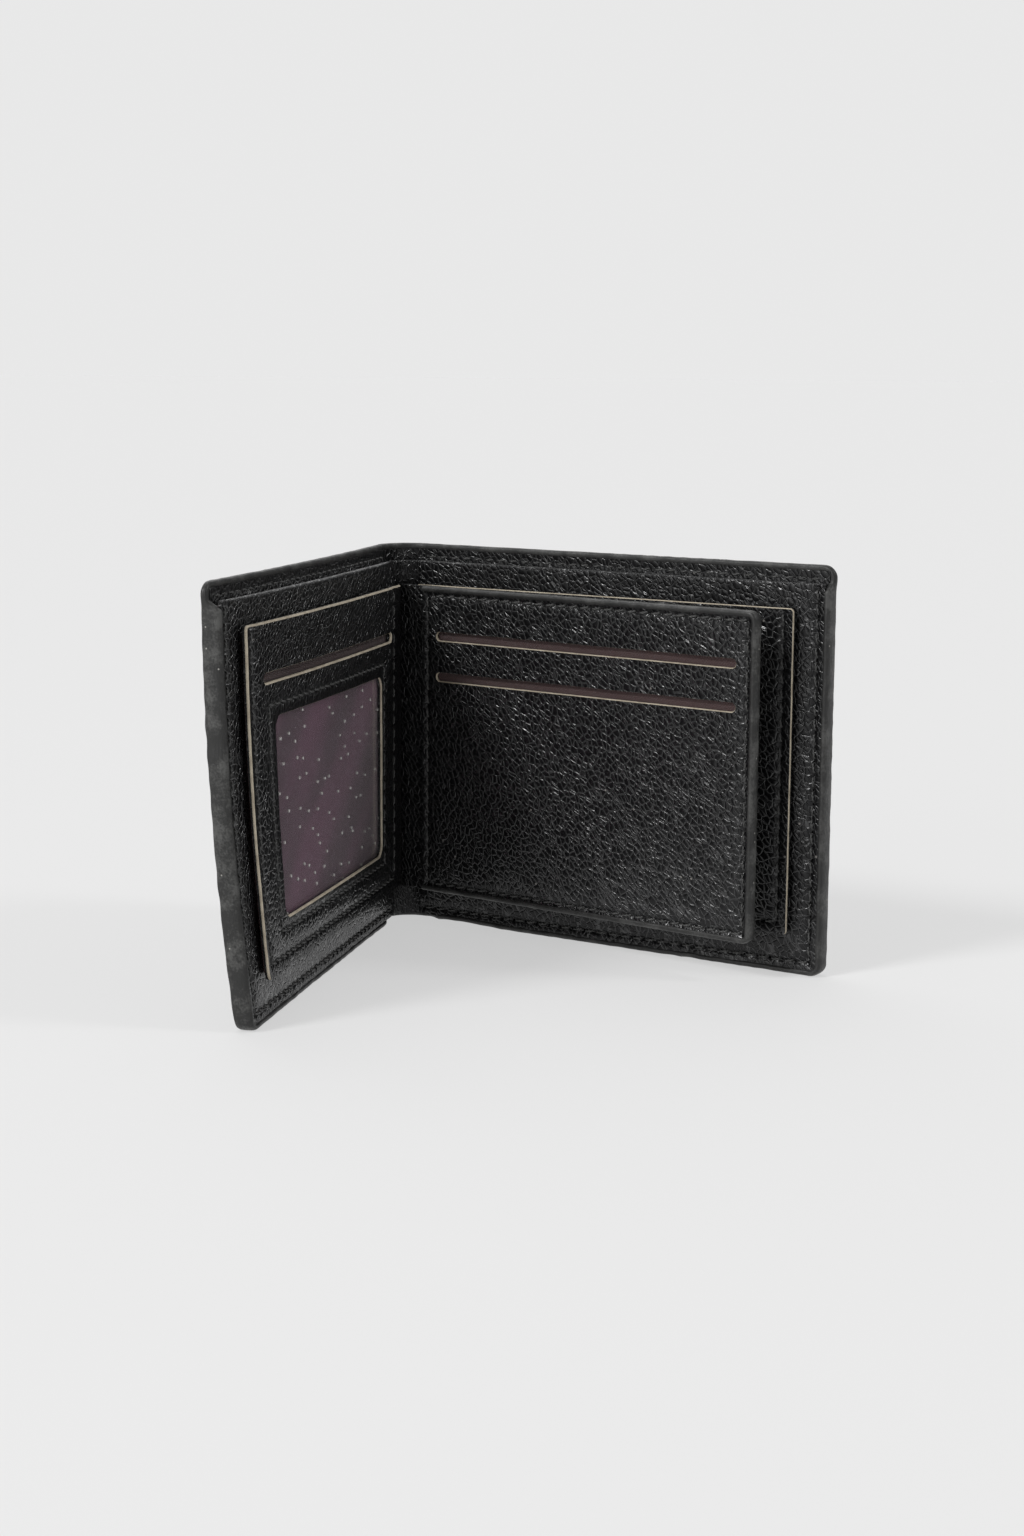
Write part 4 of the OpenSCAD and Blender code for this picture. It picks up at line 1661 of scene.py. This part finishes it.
@dataclass
class Spine:
    """The layers and painted edges that bend round the spine."""

    arc: SpineArc
    page_at: float
    left_at: float
    band: float = 1.3
    stations: int = 26
    seed: int = 90

    def stretches(self) -> list[Stretch]:
        """Return the two stretches of the spine."""
        return [("near", Body.RIGHT, Body.PAGE, self.arc.start, self.page_at),
                ("far", Body.PAGE, Body.LEFT, self.page_at, self.left_at)]

    def finish_piece(
        self, piece: bpy.types.Object, node: str, slot: str, radius: float,
        stretch: Stretch,
    ) -> bpy.types.Object:
        """Let a piece stand for its CAD node, with its placement baked into its mesh.

        Args:
            piece: the finished piece.
            node: name of the CAD node it replaces.
            slot: not used.
            radius: the piece's radius from the spine axis.
            stretch: the stretch of spine it covers.

        Returns:
            The same piece.
        """
        _, first, second, start, end = stretch
        middle = self.arc.place(np.array([self.arc.along(start), self.arc.along(end)]),
                                np.array(radius), np.array(0.0))
        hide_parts(node)
        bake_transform(piece)
        return report(piece)

    def build(self, right: LeafPlane) -> None:
        """Build every layer of the spine.

        Args:
            right: the right leaf, whose layers carry on round the spine.
        """
        layers = (
            ("outer_cover", "leather", Facing.OUTSIDE, COVER_LEATHER),
            ("cover_facing", "leather", Facing.INSIDE, LEATHER),
            ("cover_lining", "lining", Facing.INSIDE, LINING),
            ("divider_lining", "lining", Facing.OUTSIDE, LINING),
            ("inner_panel", "leather", Facing.INSIDE, LEATHER),
        )
        for stem, slot, facing, finish in layers:
            leaf = right.extent(f"{stem}_right")
            for stretch in self.stretches():
                self.build_layer(stem, slot, facing, finish, leaf, stretch)
        for stretch in self.stretches():
            self.build_bead(right, stretch)

    def build_layer(
        self, stem: str, slot: str, facing: Facing, finish: Finish, leaf: Extent,
        stretch: Stretch,
    ) -> None:
        """Build one layer over one stretch of the spine.

        Args:
            stem: the layer's name.
            slot: its material slot.
            facing: its good side.
            finish: its finish.
            leaf: the box of the same layer on the right cover.
            stretch: the stretch of spine.
        """
        name, _, _, start, end = stretch
        size = Extent(self.arc.along(start), self.arc.along(end), leaf.w0, leaf.w1,
                      leaf.z0, leaf.z1)
        low, high = PLAN.border, leaf.z1 + self.band - PLAN.border
        seams, fields, past = [], [], 20
        if stem == "outer_cover":
            seams = [Seam((-past, z), (2 * past, z)) for z in (low, high)]
            fields = [Cut(-past, 3 * past, low, high, 0)]
        relief = Relief(seams, fields, pucker=0.0, pad=0.25, ripple=0.02, seed=self.seed)
        turned = stem == "inner_panel"
        layer = Sheet(f"spine_{stem}_{name}", self.arc, size, facing, relief, step=0.62,
                      bevel=0.45 if turned else 0.0,
                      bevel_sides=(False, False, False, turned), texture_sign=-1.0)
        piece = layer.build([finish.material()])
        self.finish_piece(piece, f"{stem}_spine", slot, leaf.w1, stretch)

    def build_bead(self, right: LeafPlane, stretch: Stretch) -> None:
        """Build the foot and top beads of one stretch.

        Args:
            right: the right leaf, whose painted edge carries on round the spine.
            stretch: the stretch of spine.
        """
        name, _, _, start, end = stretch
        cover = right.extent("outer_cover_right")
        for place, z, step in (("foot", 0.0, 1), ("top", right.height, -1)):
            run = np.linspace(self.arc.along(start), self.arc.along(end), self.stations)[::step]
            path = np.column_stack([run, np.full(len(run), z)])
            bead = Bead(f"spine_edge_{place}_{name}", self.arc, path,
                        np.full(len(run), cover.w0 - PLAN.paint_lap),
                        np.full(len(run), cover.w1 + PLAN.paint_lap),
                        unevenness=0.02, seed=self.seed + 3)
            self.finish_piece(bead.build(PAINT.material()), "edge_paint_spine", "edge_paint",
                              cover.w1, stretch)


@dataclass
class FlipPage:
    """The loose page: hinge strip, two card panels, lining, painted edge and stitches."""

    plane: LeafPlane
    band: float = 1.3
    corner: float = 2.5
    seed: int = 120

    def build(self) -> None:
        """Build every piece of the page."""
        self.build_strip()
        front = self.plane.extent("page_front_panel")
        for name, facing in (("front", Facing.INSIDE), ("back", Facing.OUTSIDE)):
            self.build_panel(name, facing)
        size = self.plane.extent("page_pocket_lining")
        relief = Relief(ripple=0.03, seed=self.seed + 3)
        cloth = Sheet("page_cloth", self.plane, size, Facing.INSIDE, relief, step=2.0)
        lay_cloth(cloth, LINING, "page_pocket_lining")
        self.build_bead()
        strip = Seam((PLAN.strip_seam, front.z0 - self.band + PLAN.page),
                     (PLAN.strip_seam, front.z1 + self.band - PLAN.page))
        level = front.w0 + PLAN.panel_seat
        sew("hinge_strip_stitches", self.plane,
            [(strip, level, Facing.INSIDE), (strip, -level, Facing.OUTSIDE)],
            "hinge_strip_stitching")

    def build_strip(self) -> None:
        """Build the leather strip that hinges the page."""
        size = self.plane.extent("page_hinge_strip")
        relief = Relief(ripple=0.03, ripple_wave=9.0, seed=self.seed + 1)
        strip = Sheet("hinge_strip_leather", self.plane, size, Facing.INSIDE, relief, step=0.8,
                      bevel=0.2, texture_shift=(900.0, 0.0))
        settle(strip.build([LEATHER.material()]), "page_hinge_strip",
               self.plane.body)

    def build_panel(self, name: str, facing: Facing) -> None:
        """Build one card panel with its slots and its stitches.

        Args:
            name: front or back.
            facing: its good side.
        """
        node = f"page_{name}_panel"
        size = self.plane.extent(node)
        far, near = size.u1 + self.band - PLAN.page, PLAN.strip_seam
        low, high = size.z0 - self.band + PLAN.page, size.z1 + self.band - PLAN.page
        start, gap = near + PLAN.strip_gap, PLAN.corner_gap
        rows = [Seam((start, low), (far, low)), Seam((start, high), (far, high)),
                Seam((far, low + gap), (far, high - gap))]
        strip = Seam((near, low), (near, high))
        relief = Relief(rows + [strip], fields=[Cut(near, far, low, high, 0)], ripple=0.1,
                        ripple_wave=21.0, seed=self.seed + 10 * facing.value)
        panel = Sheet(f"page_{name}_leather", self.plane, size, facing, relief, step=0.6,
                      cuts=[PLAN.slot(0), PLAN.slot(1)], corner=self.corner - self.band,
                      bevel=0.2, bevel_sides=(False, False, False, False), wall=Wall.RAW,
                      pale_share=0.6,
                      texture_shift=(700.0 - 90 * facing.value, 10.0))
        settle(panel.build(cut_leather()), node, self.plane.body)
        seat = PLAN.panel_seat
        level = (size.w0 + seat) if facing is Facing.INSIDE else (size.w1 - seat)
        sew(f"page_{name}_stitches", self.plane, [(seam, level, facing) for seam in rows],
            f"page_{name}_stitching")

    def build_bead(self) -> None:
        """Build the page's painted edge on its three free sides."""
        size = self.plane.extent("page_edge_paint")
        path = edge_path(size.u0, size.u1, size.z0, size.z1, self.corner)
        bead = Bead("page_painted_edge", self.plane, path, np.full(len(path), size.w0),
                    np.full(len(path), size.w1), width=1.6, unevenness=0.04,
                    seed=self.seed + 5)
        settle(bead.build(PAINT.material()), "page_edge_paint", self.plane.body)


# ---- studio ----------------------------------------------------------------


@dataclass(frozen=True)
class SoftBox:
    """A large soft lamp aimed at the wallet."""

    name: str
    place: tuple[float, float, float]
    aim: tuple[float, float, float]
    size: tuple[float, float]
    power: float

    def build(self) -> bpy.types.Object:
        """Hang the lamp."""
        data = bpy.data.lights.new(self.name, "AREA")
        data.shape = "RECTANGLE"
        data.size, data.size_y = self.size
        data.energy = self.power
        lamp = bpy.data.objects.new(self.name, data)
        lamp.location = self.place
        aim = Vector(self.aim) - Vector(self.place)
        lamp.rotation_euler = aim.to_track_quat("-Z", "Y").to_euler()
        bpy.context.scene.collection.objects.link(lamp)
        return lamp


@dataclass(frozen=True)
class OpenLight:
    """A far lamp that lights the whole floor alike; spread is its width in degrees."""

    name: str
    toward: tuple[float, float, float]
    spread: float
    power: float

    def build(self) -> bpy.types.Object:
        """Hang the lamp so that it shines from its own direction."""
        data = bpy.data.lights.new(self.name, "SUN")
        data.angle = math.radians(self.spread)
        data.energy = self.power
        lamp = bpy.data.objects.new(self.name, data)
        lamp.location = self.toward
        lamp.rotation_euler = (-Vector(self.toward)).to_track_quat("-Z", "Y").to_euler()
        bpy.context.scene.collection.objects.link(lamp)
        return lamp


@dataclass
class Studio:
    """Pale floor out to the horizon, lamps, plain air and the camera."""

    floor_radius: float = 18.0
    floor_hub: float = 0.02
    floor_rings: int = 40
    floor_sides: int = 96
    air: float = 0.81
    ambient: float = 0.33
    lens: float = 59.22
    heading: float = -32.825
    pitch: float = 9.206
    roll: float = 0.386
    from_axis: tuple[float, float, float] = (359.9, -510.66, 140.57)
    lamps: Sequence[object] = field(default_factory=lambda: (
        OpenLight("overhead light", (-0.28, -0.7, 0.68), 14.0, 1.75),
        OpenLight("right light", (0.8, 0.35, 0.75), 12.0, 0.75),
        OpenLight("back light", (-0.75, 0.75, 1.1), 60.0, 1.1),
        SoftBox("front lamp", (-0.22, -1.0, 0.3), (0.0, 0.0, 0.05), (0.55, 0.45), 2.6),
    ))

    def build(self) -> None:
        """Build the floor, the light and the camera."""
        self.build_floor()
        for lamp in self.lamps:
            lamp.build()
        self.build_air()
        self.build_camera()
        bpy.context.scene.view_settings.view_transform = "Standard"

    def build_air(self) -> None:
        """Fill the air with plain light, seen as bright as the floor."""
        world = bpy.data.worlds.new("studio air")
        world.use_nodes = True
        tree = world.node_tree
        bench = NodeBench(tree)
        sight = bench.add("LightPath").outputs["Is Camera Ray"]
        strength = bench.add("Mix", {"data_type": "FLOAT"}, i0=sight, i2=self.ambient,
                             i3=self.air)
        tree.nodes["Background"].inputs[0].default_value = (1.0, 1.0, 1.0, 1.0)
        bench.feed(tree.nodes["Background"].inputs[1], strength.outputs[0])
        bpy.context.scene.world = world

    def build_floor(self) -> None:
        """Build the floor as one wide disc of rings."""
        growth = np.linspace(0, 1, self.floor_rings)
        radii = self.floor_hub * (self.floor_radius / self.floor_hub) ** growth
        around = np.linspace(0, 2 * math.pi, self.floor_sides, endpoint=False)
        x, y = radii[:, None] * np.cos(around), radii[:, None] * np.sin(around)
        points = np.column_stack([x.ravel(), y.ravel(), np.zeros(x.size)])
        faces = tube_faces(self.floor_rings, self.floor_sides, (0,))
        make_object("studio_floor", points, faces, [BACKDROP.material()])

    def build_camera(self) -> None:
        """Place the camera at its heading, pitch and roll from the spine axis."""
        data = bpy.data.cameras.new("camera")
        data.lens = self.lens
        data.sensor_width = 36.0
        data.clip_start, data.clip_end = 0.01, 40.0
        camera = bpy.data.objects.new("camera", data)
        bpy.context.scene.collection.objects.link(camera)
        yaw, pitch, roll = (math.radians(a) for a in (self.heading, self.pitch, self.roll))
        ahead = Vector((math.sin(yaw) * math.cos(pitch), math.cos(yaw) * math.cos(pitch),
                        -math.sin(pitch)))
        level = Vector((math.cos(yaw), -math.sin(yaw), 0.0))
        upward = level.cross(ahead)
        right = level * math.cos(roll) + upward * math.sin(roll)
        top = upward * math.cos(roll) - level * math.sin(roll)
        spot = Vector(self.from_axis) + Vector((AXIS[0], AXIS[1], 0.0))
        turn = Matrix((right, top, -ahead)).transposed().to_4x4()
        camera.matrix_world = Matrix.Translation(spot * MM) @ turn
        bpy.context.scene.camera = camera


def main() -> None:
    """Build the studio and the wallet."""
    logging.basicConfig(level=logging.INFO, format="%(message)s")
    Studio().build()
    right = LeafPlane(Body.RIGHT, 0.0)
    page = LeafPlane(Body.PAGE, -PAGE_ANGLE)
    left = LeafPlane(Body.LEFT, -OPENING, mirrored=True, flare_foot=-0.74, flare_rise=6.49,
                     bulge=1.5)
    outer = right.extent("outer_cover_right").w1
    arc = SpineArc(outer)
    spine = Spine(arc, 180.0 - PAGE_ANGLE, 270.0 - OPENING)
    spine_width = arc.along(spine.left_at)
    CoverLeaf("right", right, spine_width, foot_lift=0.5, seed=1).build()
    CoverLeaf("left", left, spine_width, seed=2).build()
    PocketSet("right", right, "card_pocket_panel_right", [PLAN.slot(0), PLAN.slot(1)]).build()
    PocketSet("left", left, "window_pocket_panel_left", [PLAN.slot(0), PLAN.window],
              windowed=True, bevel=0.42, pale_share=0.5, seed=75).build()
    spine.build(right)
    FlipPage(page).build()


if __name__ == "__main__":
    main()
